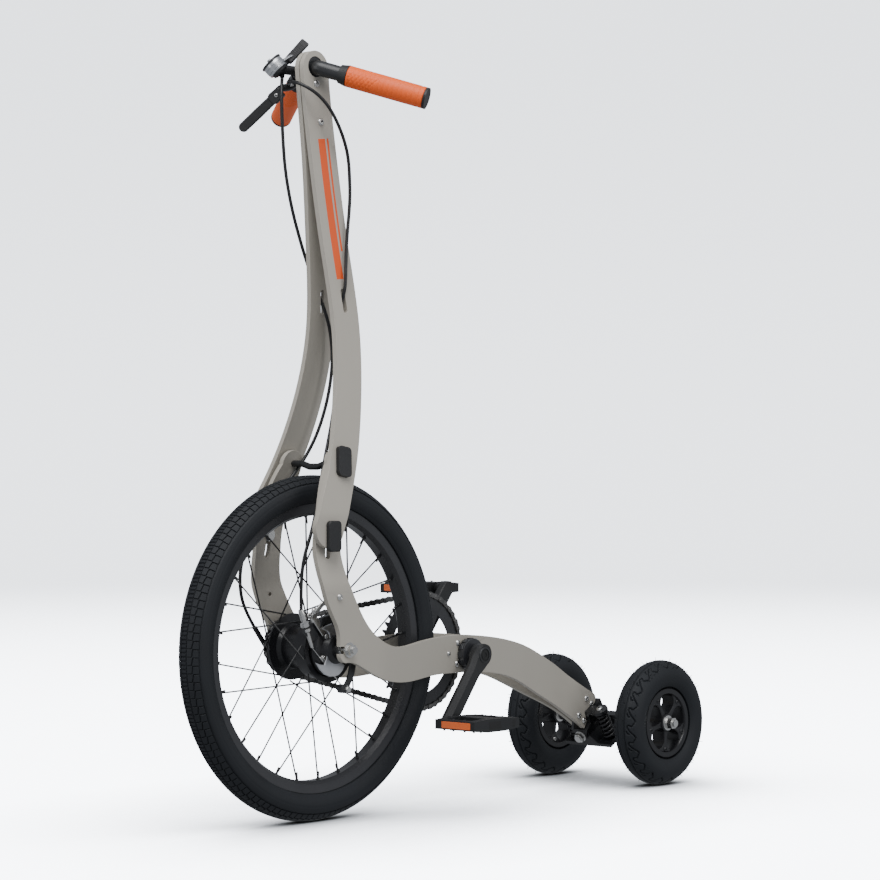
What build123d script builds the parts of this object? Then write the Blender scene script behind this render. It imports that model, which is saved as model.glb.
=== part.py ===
from build123d import *
import math
import os

# Stand-up tricycle: one driven front wheel carried between two bent plates, a fold-down steering column,
# and a sprung lean-to-steer axle with two small wheels behind.
# Millimetres, forward -Y, left +X, up +Z, origin on the floor under the middle of the outer box.

# Wheels and stance
front_radius = 250.0
front_tyre_width = 48.0
front_tyre_height = 45.0
front_rim_depth = 13.5
front_bead_radius = front_radius - front_tyre_height
front_rim_opening = front_bead_radius - front_rim_depth
front_rim_width = 30.0
rear_radius = 100.0
rear_tyre_width = 50.0
rear_rim_radius = 55.6
rear_hub_width = 36.0
wheelbase = 676.8
drawn_wheelbase = 676.8
rear_track = 224.4
front_y = -(wheelbase + rear_radius - front_radius) / 2
rear_y = front_y + wheelbase
axle_radius = 5.0
running_fit = 0.05

# Frame plates
plate_t = 8.0
plate_gap = 2.4
plate_width = 51.0
dropout_clear = 67.0
pivot_clear = 57.0
shell_clear = 30.0
tail_clear = 2.2
lap_slope = 0.19
bend_radius = 70.0
pivot_y = -30.0
pivot_z = 413.0
pivot_radius = 4.4
pivot_slot = 28.0
slot_lean = math.radians(82)
lock_y = 4.5
lock_z = 516.5
dropout_slot = 10.6
column_foot_radius = 28.0
foot_y = -38.0
foot_z = 424.0

# Handlebar
bar_z = 1089.5
bar_radius = 11.1
bar_wall = 2.0
bar_straight = 14.0
bar_bend = 15.0
bar_sweep = 32.0
bar_droop = 17.0
sleeve_radius = 15.0
sleeve_rise = 2.0
grip_radius = 15.8
grip_start = 46.0
grip_length = 118.0
collar_length = 12.0
bar_arm = grip_start + grip_length

# Drive
pitch = 12.7
ring_teeth = 44
cog_teeth = 18
chain_links = 78
chain_x = -56.0
ring_t = 2.2
roller_radius = 3.9
crank_z = 227.0
crank_length = 127.0
crank_angle = 47.0
crank_inner = 60.0
crank_outer = 76.0
crank_lean = 11.0
crank_t = 12.0
crank_boss_radius = 17.0
crank_tip_radius = 12.5
chain_half_width = 4.0
shell_radius = 22.0
cup_radius = 23.5
spindle_radius = 9.5
pedal_length = 100.0
pedal_width = 77.0
pedal_t = 19.0
pedal_gap = 12.0
pedal_pin_radius = 5.0

# Rear truck
kingpin_tilt = 32.0
kingpin_lead = 62.4
kingpin_y = wheelbase - kingpin_lead
kingpin_z = 73.7
kingpin_radius = 6.0
hanger_radius = 10.5
spring_spread = 35.0
spring_station = 30.0
spring_radius = 11.0
spring_turns = 6
spring_seat = 31.0
wing_top = -19.0
wing_t = 6.0

os.makedirs("parts", exist_ok=True)

front_z = front_radius
rear_z = rear_radius
plate_out = dropout_clear + plate_t
column_pivot_clear = pivot_clear + plate_t + plate_gap

ring_r = pitch / (2 * math.sin(math.pi / ring_teeth))
cog_r = pitch / (2 * math.sin(math.pi / cog_teeth))
half_sum = (ring_teeth + cog_teeth) / 2
half_diff = (ring_teeth - cog_teeth) / (2 * math.pi)
slack_links = chain_links - half_sum
chain_centres = pitch / 4 * (slack_links + math.sqrt(slack_links ** 2 - 8 * half_diff ** 2))
crank_y = math.sqrt(chain_centres ** 2 - (front_z - crank_z) ** 2)


def side(x):
    """Side view plane at width x, with its origin on the floor under the front axle."""
    return Plane(origin=(x, front_y, 0), x_dir=(0, 1, 0), z_dir=(1, 0, 0))


def place(y, z, x=0.0):
    """A point given from the front axle's foot, in the part's frame."""
    return Vector(x, front_y + y, z)


tail_from = 245.0
tail_rigid = 590.0


def aft(y):
    """A station behind the cranks, drawn at the drawn wheelbase and moved with the real one."""
    share = min(1, max(0, (y - tail_from) / (tail_rigid - tail_from)))
    return y + (wheelbase - drawn_wheelbase) * share


def save(piece, name):
    piece.part.label = name
    export_step(piece.part, f"parts/{name}.step")


def both_sides(builder, name):
    """Write the left piece as built and its mirror image as the right one."""
    save(builder, f"{name}_left")
    with BuildPart() as twin:
        add(mirror(builder.part, about=Plane.YZ))
    save(twin, f"{name}_right")
    return twin


# Lower plates: two bent strips that hold the front wheel, the cranks and the rear truck
lap_top = 552.0
flat_top = 438.0
flat_low = 390.0
flare_low = 342.0
lap_in = pivot_clear - lap_slope * (lap_top - flat_top)
fold_clear = 4.0
column_flat_top = flat_top + fold_clear
column_lap_in = column_pivot_clear - lap_slope * (lap_top - column_flat_top)
split_y = 58.0
crown_y = 3.0
crown_z = 516.0
crown_radius = 20.0
lobe_front = -17.0
lobe_low = 231.5
tail_low = (aft(612.0), 88.0)
tail_high = (aft(646.0), 139.0)
tail_fillet = 9.0
shell_hole = shell_radius + 0.1
bolt_radius = 3.0
shell_bolts = [(143.0, 30.0), (206.0, 30.0), (37.0, 30.0), (-26.0, 30.0), (176.0, 50.0)]
shell_bolt_places = [(crank_y + r * math.cos(math.radians(a)), crank_z + r * math.sin(math.radians(a)))
                     for a, r in shell_bolts]
strap_bolt = (-19.0, 326.0)
tail_bolts = [(aft(y), z) for y, z in ((598.0, 110.0), (611.0, 101.0), (617.0, 136.0), (630.0, 127.0))]

front_edge = [(-27, 500), (-41, 467), (-51.5, 433), (-56, 400), (-54.5, 366), (-48.5, 337), (-36, 308),
              (-20, 280)]
low_edge = [(12, 230), (31, 222), (66, 206), (105, 197), (150, 196), (197, 200), (245, 200.6), (310, 198.5),
            (368, 193), (412, 183.5), (450, 168.5), (495, 148.5), (540, 129), (590, 102)]
high_edge = [(612, 155), (579, 172), (538, 194), (499, 211.5), (466, 225), (435, 235), (390, 245), (345, 251.5),
             (300, 255.7), (253, 257.3), (210, 256), (165, 252), (122, 248), (92, 251.5), (66, 262), (46, 277),
             (30, 296), (14, 322), (0, 351), (-6, 378), (-6, 405), (2, 440), (14, 480)]

with BuildPart() as chassis_plate_left:
    with BuildSketch(Plane(origin=(0, front_y + split_y, 0), x_dir=(1, 0, 0), z_dir=(0, -1, 0))):
        with BuildLine():
            inner = FilletPolyline((lap_in, lap_top), (pivot_clear, flat_top), (pivot_clear, flat_low),
                                   (dropout_clear, flare_low), (dropout_clear, 180), radius=bend_radius)
            outer = FilletPolyline((lap_in + plate_t, lap_top), (pivot_clear + plate_t, flat_top),
                                   (pivot_clear + plate_t, flat_low), (plate_out, flare_low), (plate_out, 180),
                                   radius=bend_radius)
            Line(inner @ 0, outer @ 0)
            Line(inner @ 1, outer @ 1)
        make_face()
    extrude(amount=split_y + 120)
    with BuildSketch(Plane(origin=(0, front_y, 0))):
        with BuildLine():
            tail_line = [(dropout_clear, split_y), (dropout_clear, 72), (shell_clear, aft(298)), (17.8, aft(440)),
                         (tail_clear, aft(562)), (tail_clear, aft(700))]
            inner = FilletPolyline(*tail_line, radius=150)
            outer = FilletPolyline(*[(x + plate_t, y) for x, y in tail_line], radius=150)
            Line(inner @ 0, outer @ 0)
            Line(inner @ 1, outer @ 1)
        make_face()
    extrude(amount=400)
    with BuildSketch(side(0)):
        with BuildLine():
            front = Spline((crown_y - crown_radius, crown_z), *front_edge, (lobe_front, 264))
            nose = Line((lobe_front, 264), (lobe_front, 243))
            chin = RadiusArc((lobe_front, 243), (-5, lobe_low), -12)
            low = Spline((-5, lobe_low), *[(aft(y), z) for y, z in low_edge], tail_low)
            end = Line(tail_low, tail_high)
            high = Spline(tail_high, *[(aft(y), z) for y, z in high_edge], (crown_y + crown_radius, crown_z))
            RadiusArc(high @ 1, front @ 0, -crown_radius)
        make_face()
        fillet(vertices().group_by(Axis.X)[-1], radius=tail_fillet)
        with Locations((-20, front_z)):
            Rectangle(40, dropout_slot, mode=Mode.SUBTRACT)
        with Locations((0, front_z)):
            Circle(dropout_slot / 2, mode=Mode.SUBTRACT)
        with Locations((crank_y, crank_z)):
            Circle(shell_hole, mode=Mode.SUBTRACT)
        with Locations((pivot_y - pivot_slot / 2 * math.cos(slot_lean), pivot_z - pivot_slot / 2 * math.sin(slot_lean))):
            SlotCenterToCenter(pivot_slot, 2 * (pivot_radius + running_fit), rotation=math.degrees(slot_lean),
                               mode=Mode.SUBTRACT)
        with Locations((lock_y, lock_z)):
            Circle(pivot_radius + running_fit, mode=Mode.SUBTRACT)
        with Locations(strap_bolt, *tail_bolts, *shell_bolt_places):
            Circle(bolt_radius, mode=Mode.SUBTRACT)
    extrude(amount=plate_out + 10, mode=Mode.INTERSECT)
both_sides(chassis_plate_left, "chassis_plate")


# Steering column: two curved strips, side by side at the bar and straddling the wheel at the pivot
column_line = [(0.5, bar_z), (5.5, 1042), (15.3, 967), (30, 848), (39.5, 775), (43.5, 715), (41.5, 672),
               (31.5, 608), (16, 550), (-6, 493), (-24, 455), (foot_y, foot_z)]
column_slot_y = 41.0
column_slot_z = 753.0
column_bolts = [(1.0, 1067.0), (9.5, 1012.0)]


def normals(points):
    """Unit normals of a run of points, from each point's neighbours."""
    result = []
    for i in range(len(points)):
        a = points[max(i - 1, 0)]
        b = points[min(i + 1, len(points) - 1)]
        length = math.hypot(b[0] - a[0], b[1] - a[1])
        result.append(((a[1] - b[1]) / length, (b[0] - a[0]) / length))
    return result


half = plate_width / 2
widths = [half] * (len(column_line) - 2) + [half + 1, column_foot_radius]
column_rear = [(y + w * n[0], z + w * n[1]) for (y, z), w, n in zip(column_line, widths, normals(column_line))]
column_front = [(y - w * n[0], z - w * n[1]) for (y, z), w, n in zip(column_line, widths, normals(column_line))]

with BuildPart() as column_plate_left:
    with BuildSketch(Plane(origin=(0, front_y + 150, 0), x_dir=(1, 0, 0), z_dir=(0, -1, 0))):
        with BuildLine():
            upper = [(0.8, bar_z + 40), (2.0, 985), (9.4, 848), (26.1, 681), (column_lap_in, lap_top)]
            inner_top = Spline(*upper, tangents=[(0, -1), (lap_slope, -1)])
            inner_low = FilletPolyline(upper[-1], (column_pivot_clear, column_flat_top), (column_pivot_clear, 370),
                                       radius=bend_radius)
            outer_top = Spline(*[(x + plate_t, z) for x, z in upper], tangents=[(0, -1), (lap_slope, -1)])
            outer_low = FilletPolyline((column_lap_in + plate_t, lap_top), (column_pivot_clear + plate_t, column_flat_top),
                                       (column_pivot_clear + plate_t, 370), radius=bend_radius)
            Line(inner_top @ 0, outer_top @ 0)
            Line(inner_low @ 1, outer_low @ 1)
        make_face()
    extrude(amount=300)
    with BuildSketch(side(0)):
        with BuildLine():
            rear = Spline(*column_rear)
            front = Spline(*column_front)
            Line(rear @ 0, front @ 0)
            Line(rear @ 1, front @ 1)
        make_face()
        with Locations((foot_y, foot_z)):
            Circle(column_foot_radius)
        with Locations(column_line[0]):
            Circle(half)
        with Locations((0, bar_z + sleeve_rise)):
            Circle(sleeve_radius + running_fit, mode=Mode.SUBTRACT)
        with Locations(*column_bolts):
            Circle(bolt_radius, mode=Mode.SUBTRACT)
        with Locations((column_slot_y, column_slot_z)):
            SlotOverall(36, 8, rotation=97, mode=Mode.SUBTRACT)
        with Locations((pivot_y, pivot_z)):
            Circle(pivot_radius + running_fit, mode=Mode.SUBTRACT)
    extrude(amount=120, mode=Mode.INTERSECT)
both_sides(column_plate_left, "column_plate")


def round_bar(radius, start, end):
    """Add a straight round bar between two points to the part being built."""
    run = Vector(*end) - Vector(*start)
    with BuildSketch(Plane(origin=start, z_dir=run)) as disc:
        Circle(radius)
    extrude(disc.sketch, amount=run.length)


# Fasteners that tie the plates together
column_bolt_head = 5.5
column_bolt_reach = 9.4
with BuildPart() as column_bolts_part:
    for y, z in column_bolts:
        with BuildSketch(side(-column_bolt_reach - 3)):
            with Locations((y, z)):
                Circle(bolt_radius)
        extrude(amount=2 * (column_bolt_reach + 3))
        for x in (-column_bolt_reach - 3.5, column_bolt_reach + 0.8):
            with BuildSketch(side(x)):
                with Locations((y, z)):
                    Circle(column_bolt_head)
            extrude(amount=2.7)
save(column_bolts_part, "column_bolts")

tail_head_radius = 5.0
with BuildPart() as tail_bolts_part:
    for y, z in tail_bolts:
        reach = tail_clear + plate_t
        with BuildSketch(side(-reach - 2)):
            with Locations((y, z)):
                Circle(bolt_radius)
        extrude(amount=2 * reach + 4)
        for x in (-reach - 3, reach):
            with BuildSketch(side(x)):
                with Locations((y, z)):
                    Circle(tail_head_radius)
            extrude(amount=3)
save(tail_bolts_part, "tail_bolts")

# Fold pivot: a pin and washers on each side, and the bar that locks the lower plates' crowns
with BuildPart() as pivot_pins:
    for sign in (1, -1):
        stations = [(pivot_clear - 5, pivot_clear - 2, 6.0), (pivot_clear - 2, pivot_clear, 9.5),
                    (pivot_clear, column_pivot_clear + plate_t - 0.3, pivot_radius),
                    (pivot_clear + plate_t, column_pivot_clear - 0.1, 11.0)]
        for x0, x1, r in stations:
            with BuildSketch(side(sign * x0)):
                with Locations((pivot_y, pivot_z)):
                    Circle(r)
            extrude(amount=sign * (x1 - x0))
save(pivot_pins, "pivot_pins")

lock_in = pivot_clear - lap_slope * (lock_z - flat_top)
lock_rod_radius = 4.8
lock_drop = 4.5
with BuildPart() as lock_bar:
    with BuildLine():
        rod = FilletPolyline(place(lock_y, lock_z, -lock_in + 1.2), place(lock_y, lock_z, -24),
                             place(lock_y, lock_z - lock_drop, -9), place(lock_y, lock_z - lock_drop, 9),
                             place(lock_y, lock_z, 24), place(lock_y, lock_z, lock_in - 1.2), radius=12)
    with BuildSketch(Plane(origin=rod @ 0, z_dir=rod % 0)):
        Circle(lock_rod_radius)
    sweep()
    for sign in (1, -1):
        with BuildSketch(side(sign * (lock_in - 4))):
            with Locations((lock_y, lock_z)):
                Circle(pivot_radius)
        extrude(amount=sign * (plate_t + 3.2))
save(lock_bar, "lock_bar")

# Black latch covers on the column's outer faces
cover_width = 25.0
cover_height = 44.0
cover_t = 6.5


lean_x = column_pivot_clear + plate_t - lap_slope * (lock_z - column_flat_top)
with BuildPart() as latch_covers:
    for plane, y, z, lean in ((side(column_pivot_clear + plate_t), pivot_y - 3, pivot_z, 0),
                              (Plane(origin=(lean_x, front_y, lock_z), x_dir=(0, 1, 0), z_dir=(1, 0, lap_slope)),
                               lock_y - 3, 2, -10)):
        with BuildSketch(plane):
            with Locations(Location((y, z, 0), lean)):
                RectangleRounded(cover_width, cover_height, 6)
        extrude(amount=cover_t)
    fillet(faces().group_by(Axis.X)[-1].edges(), radius=2)
    mirror(about=Plane.YZ)
save(latch_covers, "latch_covers")

# Handlebar and grips
sweep_angle = math.radians(bar_sweep)
droop_angle = math.radians(bar_droop)
arm_left = Vector(math.cos(sweep_angle) * math.cos(droop_angle), math.sin(sweep_angle) * math.cos(droop_angle),
                  -math.sin(droop_angle))
arm_right = Vector(-arm_left.X, arm_left.Y, arm_left.Z)
bend_left = place(0, bar_z, bar_straight)
bend_right = place(0, bar_z, -bar_straight)


def on_bar(arm, distance):
    return (bend_left if arm.X > 0 else bend_right) + arm * distance


def bar_plane(arm, distance):
    return Plane(origin=on_bar(arm, distance), x_dir=Vector(0, 0, 1) - arm * arm.Z, z_dir=arm)


sleeve_half = 7.5
with BuildPart() as handlebar:
    with BuildLine():
        route = FilletPolyline(on_bar(arm_right, bar_arm), bend_right, bend_left, on_bar(arm_left, bar_arm),
                               radius=bar_bend)
    with BuildSketch(Plane(origin=route @ 0, z_dir=route % 0)):
        Circle(bar_radius)
        Circle(bar_radius - bar_wall, mode=Mode.SUBTRACT)
    sweep()
    with BuildSketch(side(-sleeve_half)):
        with Locations((0, bar_z + sleeve_rise)):
            Circle(sleeve_radius)
        with Locations((0, bar_z)):
            Circle(bar_radius - 0.5, mode=Mode.SUBTRACT)
    extrude(amount=2 * sleeve_half)
save(handlebar, "handlebar")

for arm, name in ((arm_left, "grip_left"), (arm_right, "grip_right")):
    with BuildPart() as grip:
        with BuildSketch(bar_plane(arm, grip_start)):
            Circle(grip_radius)
            Circle(bar_radius, mode=Mode.SUBTRACT)
        extrude(amount=grip_length)
        chamfer(grip.edges().filter_by(GeomType.CIRCLE).group_by(SortBy.LENGTH)[-1], length=1.2)
    save(grip, name)

with BuildPart() as bar_collars:
    for arm in (arm_left, arm_right):
        with BuildSketch(bar_plane(arm, grip_start - collar_length - 0.2)):
            Circle(13.5)
            Circle(bar_radius, mode=Mode.SUBTRACT)
        with BuildSketch(bar_plane(arm, grip_start - 0.2)):
            Circle(grip_radius)
            Circle(bar_radius, mode=Mode.SUBTRACT)
        loft()
        with BuildSketch(bar_plane(arm, bar_arm + 0.2)):
            Circle(grip_radius)
        extrude(amount=3.5)
save(bar_collars, "bar_collars")

# Brake lever and thumb shifter on the right of the bar
clamp_t = 3.2
lever_station = 28.0
lever_pivot = place(-29.5, 1052, -41)
lever_tip = place(-50, 1006.5, -92)
with BuildPart() as brake_lever:
    with BuildSketch(bar_plane(arm_right, lever_station - 5.5)):
        Circle(bar_radius + clamp_t)
        Circle(bar_radius, mode=Mode.SUBTRACT)
    extrude(amount=11)
    round_bar(5, on_bar(arm_right, lever_station) + Vector(0, -14, -6), lever_pivot + Vector(1, 3, 4))
    round_bar(6, lever_pivot + Vector(0, 0, 7), lever_pivot - Vector(0, 0, 7))
    blade = lever_tip - lever_pivot
    with BuildSketch(Plane(origin=lever_pivot, z_dir=blade)):
        RectangleRounded(12, 9, 3)
    extrude(amount=blade.length)
save(brake_lever, "brake_lever")

shifter_station = 12.5
arm_offset = Vector(-1, -13, 2)
elbow = place(-11, 1107, -32)
paddle_low = place(-12, 1106, -32)
paddle_high = place(14, 1134, -25)
paddle_radius = 5.5
dial = place(-40, 1097, -41)
dial_axis = Vector(-0.52, -0.47, 0.71)
dial_radius = 17.0
drum_t = 13.0
with BuildPart() as shifter:
    with BuildSketch(bar_plane(arm_right, shifter_station - 4.5)):
        Circle(bar_radius + clamp_t)
        Circle(bar_radius, mode=Mode.SUBTRACT)
    extrude(amount=9)
    drum_end = dial - dial_axis * drum_t
    round_bar(4.8, on_bar(arm_right, shifter_station) + arm_offset, drum_end + dial_axis * 5)
    round_bar(dial_radius - 1.5, drum_end, dial)
    round_bar(dial_radius, dial, dial + dial_axis * 3)
    round_bar(paddle_radius, paddle_low, paddle_high)
    round_bar(paddle_radius, on_bar(arm_right, shifter_station) + arm_offset, elbow)
    with BuildSketch(bar_plane(arm_right, 0)):
        Circle(bar_radius)
    extrude(amount=grip_start, mode=Mode.SUBTRACT)
save(shifter, "shifter")

# Bottom bracket shell, spindle, cranks and ring
cup_left = 54.0
cup_right = 51.0
cup_seat = 43.5
with BuildPart() as bottom_bracket:
    with BuildSketch(side(-cup_seat)):
        with Locations((crank_y, crank_z)):
            Circle(shell_radius)
    extrude(amount=2 * cup_seat)
    with BuildSketch(side(cup_seat)):
        with Locations((crank_y, crank_z)):
            Circle(cup_radius)
    extrude(amount=cup_left - cup_seat)
    with BuildSketch(side(-cup_right)):
        with Locations((crank_y, crank_z)):
            Circle(cup_radius)
    extrude(amount=cup_right - cup_seat)
    with BuildSketch(side(-100)):
        with Locations((crank_y, crank_z)):
            Circle(spindle_radius + running_fit)
    extrude(amount=200, mode=Mode.SUBTRACT)
save(bottom_bracket, "bottom_bracket")

with BuildPart() as crank_spindle:
    with BuildSketch(side(-crank_inner)):
        with Locations((crank_y, crank_z)):
            Circle(spindle_radius)
    extrude(amount=2 * crank_inner)
save(crank_spindle, "crank_spindle")

crank_centre = place(crank_y, crank_z)
angle = math.radians(crank_angle)
left_arm = Vector(0, -math.cos(angle), -math.sin(angle))
pedal_face = crank_outer + crank_lean
pin_length = pedal_gap + pedal_width - 8


def crank(sign, name):
    """Forged arm that leans outwards to its pedal pin."""
    arm = left_arm * sign
    across = Vector(sign, 0, 0)
    with BuildPart() as piece:
        with BuildSketch(Plane(origin=crank_centre, x_dir=arm, z_dir=arm.cross(across))):
            with BuildLine():
                Polyline((-crank_boss_radius - 1, crank_inner), (crank_boss_radius, crank_inner),
                         (crank_boss_radius + 8, crank_outer - crank_t), (crank_length, pedal_face - crank_t),
                         (crank_length + 20, pedal_face - crank_t), (crank_length + 20, pedal_face),
                         (crank_length - 8, pedal_face), (crank_boss_radius, crank_outer),
                         (-crank_boss_radius - 1, crank_outer), close=True)
            make_face()
        extrude(amount=crank_boss_radius + 5, both=True)
        with BuildSketch(Plane(origin=crank_centre, x_dir=arm, z_dir=across)):
            with BuildLine():
                Line((0, -crank_boss_radius), (0, crank_boss_radius))
            Circle(crank_boss_radius)
            with Locations((crank_length, 0)):
                Circle(crank_tip_radius)
            make_hull()
        extrude(amount=pedal_face + 10, mode=Mode.INTERSECT)
        with BuildSketch(Plane(origin=crank_centre + across * (crank_outer - 6), x_dir=arm, z_dir=across)):
            Circle(9)
        extrude(amount=20, mode=Mode.SUBTRACT)
        with BuildSketch(Plane(origin=crank_centre + across * (pedal_face - 1), x_dir=arm, z_dir=across)):
            with Locations((crank_length, 0)):
                Circle(pedal_pin_radius)
        extrude(amount=pin_length + 1)
    save(piece, name)


crank(1, "crank_left")
crank(-1, "crank_right")

ring_plane = Plane(origin=crank_centre + Vector(chain_x - ring_t / 2, 0, 0), x_dir=(0, 1, 0), z_dir=(1, 0, 0))


tooth_tip = 3.2


def toothed_outline(teeth, phase):
    """Points of a simple tooth form: wide roots under the rollers and narrow tips between them."""
    radius = pitch / (2 * math.sin(math.pi / teeth))
    root = radius - roller_radius - 0.2
    tip = radius + tooth_tip
    points = []
    for i in range(teeth):
        centre = phase + 2 * math.pi * (i + 0.5) / teeth
        step = math.pi / teeth
        for share, r in ((-0.54, root), (-0.2, tip), (0.2, tip), (0.54, root)):
            points.append((r * math.cos(centre + share * step), r * math.sin(centre + share * step)))
    return points


# Chain route: over the ring, along both straight runs and round the cog
run_angle = math.atan2(front_z - crank_z, -crank_y)
wrap = math.asin((ring_r - cog_r) / chain_centres)
straight = math.sqrt(chain_centres ** 2 - (ring_r - cog_r) ** 2)
ring_arc = (math.pi + 2 * wrap) * ring_r
cog_arc = (math.pi - 2 * wrap) * cog_r
link_step = (ring_arc + cog_arc + 2 * straight) / chain_links
ring_start = run_angle + math.pi / 2 - wrap


def chain_point(distance):
    """Point on the chain's line, clockwise from the lower tangent of the ring, seen from the left."""
    distance = distance % (link_step * chain_links)
    ring_centre = Vector(crank_y, crank_z)
    cog_centre = Vector(0, front_z)
    if distance < ring_arc:
        a = ring_start + distance / ring_r
        return ring_centre + Vector(math.cos(a), math.sin(a)) * ring_r
    distance -= ring_arc
    leave = ring_start + ring_arc / ring_r
    along = Vector(-math.sin(leave), math.cos(leave))
    if distance < straight:
        return ring_centre + Vector(math.cos(leave), math.sin(leave)) * ring_r + along * distance
    distance -= straight
    if distance < cog_arc:
        a = leave + distance / cog_r
        return cog_centre + Vector(math.cos(a), math.sin(a)) * cog_r
    distance -= cog_arc
    a = leave + cog_arc / cog_r
    return cog_centre + Vector(math.cos(a), math.sin(a)) * cog_r + Vector(-math.sin(a), math.cos(a)) * distance


pins = [chain_point((i + 0.5) * link_step) for i in range(chain_links)]
ring_phase = math.atan2(pins[0].Y - crank_z, pins[0].X - crank_y)
cog_pin = min(pins, key=lambda p: (p - Vector(0, front_z)).length + p.X)
cog_phase = math.atan2(cog_pin.Y - front_z, cog_pin.X)

link_half_height = 4.2
link_t = 0.9
link_reach = link_step / 2 + link_half_height
link_outline = [(-link_reach, 0), (-link_reach + 3, link_half_height), (link_reach - 3, link_half_height),
                (link_reach, 0), (link_reach - 3, -link_half_height), (-link_reach + 3, -link_half_height)]
roller_in = chain_half_width - 2 * link_t
ring_sweep = ring_r + tooth_tip + roller_radius + 0.5
with BuildPart() as chain:
    for parity, inner in enumerate((chain_half_width - link_t, roller_in)):
        for x in (chain_x + inner, chain_x - inner - link_t):
            with BuildSketch(side(x)):
                for i in range(parity, chain_links, 2):
                    a = pins[i]
                    b = pins[(i + 1) % chain_links]
                    lean = math.degrees(math.atan2(b.Y - a.Y, b.X - a.X))
                    with Locations(Location(((a.X + b.X) / 2, (a.Y + b.Y) / 2, 0), lean)):
                        Polygon(*link_outline)
            extrude(amount=link_t)
    with BuildSketch(side(chain_x - roller_in)):
        for pin in pins:
            if (pin - Vector(crank_y, crank_z)).length > ring_sweep:
                with Locations((pin.X, pin.Y)):
                    RegularPolygon(roller_radius - 0.2, 6)
    extrude(amount=2 * roller_in)
save(chain, "chain")

ring_inner = 66.0
ring_arms = 5
with BuildPart() as chainring:
    with BuildSketch(ring_plane):
        with BuildLine():
            Polyline(*toothed_outline(ring_teeth, ring_phase), close=True)
        make_face()
        Circle(ring_inner, mode=Mode.SUBTRACT)
        Circle(21)
        with PolarLocations(0, ring_arms, start_angle=-crank_angle + 36):
            with Locations((ring_inner / 2, 0)):
                Rectangle(ring_inner + 4, 15)
        Circle(spindle_radius + 1, mode=Mode.SUBTRACT)
    extrude(amount=ring_t)
save(chainring, "chainring")

cog_plane = Plane(origin=place(0, front_z, chain_x - ring_t / 2), x_dir=(0, 1, 0), z_dir=(1, 0, 0))
with BuildPart() as hub_cog:
    with BuildSketch(cog_plane):
        with BuildLine():
            Polyline(*toothed_outline(cog_teeth, cog_phase), close=True)
        make_face()
        Circle(axle_radius, mode=Mode.SUBTRACT)
    extrude(amount=ring_t)
    with BuildSketch(cog_plane.offset(ring_t)):
        Circle(19)
        Circle(axle_radius, mode=Mode.SUBTRACT)
    extrude(amount=6)
save(hub_cog, "hub_cog")

# Pedals
pedal_rail = 13.0
for sign, name in ((1, "pedal_left"), (-1, "pedal_right")):
    pin_end = crank_centre + left_arm * sign * crank_length + Vector(sign * (pedal_face + pedal_gap), 0, 0)
    with BuildPart() as pedal:
        with BuildSketch(Plane(origin=pin_end, x_dir=(0, 1, 0), z_dir=(sign, 0, 0))):
            with BuildLine():
                Polyline((-pedal_length / 2, -pedal_t / 2 + 3), (-pedal_length / 2, pedal_t / 2 - 2),
                         (-20, pedal_t / 2), (20, pedal_t / 2), (pedal_length / 2, pedal_t / 2 - 2),
                         (pedal_length / 2, -pedal_t / 2 + 3), (20, -pedal_t / 2), (-20, -pedal_t / 2), close=True)
            make_face()
        extrude(amount=pedal_width)
        with BuildSketch(Plane(origin=pin_end - Vector(0, 0, pedal_t))):
            for y in (-1, 1):
                with Locations((sign * pedal_width / 2, y * (pedal_length / 4 + 1))):
                    RectangleRounded(pedal_width - 2 * pedal_rail, pedal_length / 2 - pedal_rail - 9, 3)
        extrude(amount=2 * pedal_t, mode=Mode.SUBTRACT)
        with BuildSketch(Plane(origin=pin_end, x_dir=(0, 1, 0), z_dir=(sign, 0, 0))):
            Circle(pedal_pin_radius + running_fit)
        extrude(amount=pedal_width - 7, mode=Mode.SUBTRACT)
        with BuildSketch(Plane(origin=pin_end, x_dir=(0, 1, 0), z_dir=(-sign, 0, 0))):
            Circle(8.5)
            Circle(pedal_pin_radius + running_fit, mode=Mode.SUBTRACT)
        extrude(amount=pedal_gap - 4)
    save(pedal, name)


def wheel_plane(y, z, x=0.0):
    """Sketch plane through a wheel's axis: first coordinate across, second radius upwards."""
    return Plane(origin=place(y, z, x), x_dir=(1, 0, 0), z_dir=(0, -1, 0))


def wheel_axis(y, z):
    return Axis(place(y, z), (1, 0, 0))


# Front wheel
front_axis = wheel_axis(0, front_z)
rim_lip = 4.0
bead_half = 11.0
crown_flat = 0.15
wall_angles = (45, 90)


def tyre_profile(radius, width, low, lip):
    """Tyre section with a flat crown and its bead between the rim's lips; low is the bead's radius."""
    crown = width / 2
    centre = radius - crown
    shoulder = low + lip
    half = math.sqrt(crown ** 2 - (centre - shoulder) ** 2)
    wall = [(crown * math.sin(math.radians(a)), centre + crown * math.cos(math.radians(a))) for a in wall_angles]
    right = [(crown_flat * width, radius), *wall, (half, shoulder), (bead_half, shoulder), (bead_half, low)]
    Polyline(*right, *[(-x, r) for x, r in reversed(right)], close=True)


with BuildPart() as front_tyre:
    with BuildSketch(wheel_plane(0, front_z)):
        with BuildLine():
            tyre_profile(front_radius, front_tyre_width, front_bead_radius, rim_lip + 0.3)
        make_face()
    revolve(axis=front_axis)
save(front_tyre, "front_tyre")

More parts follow.
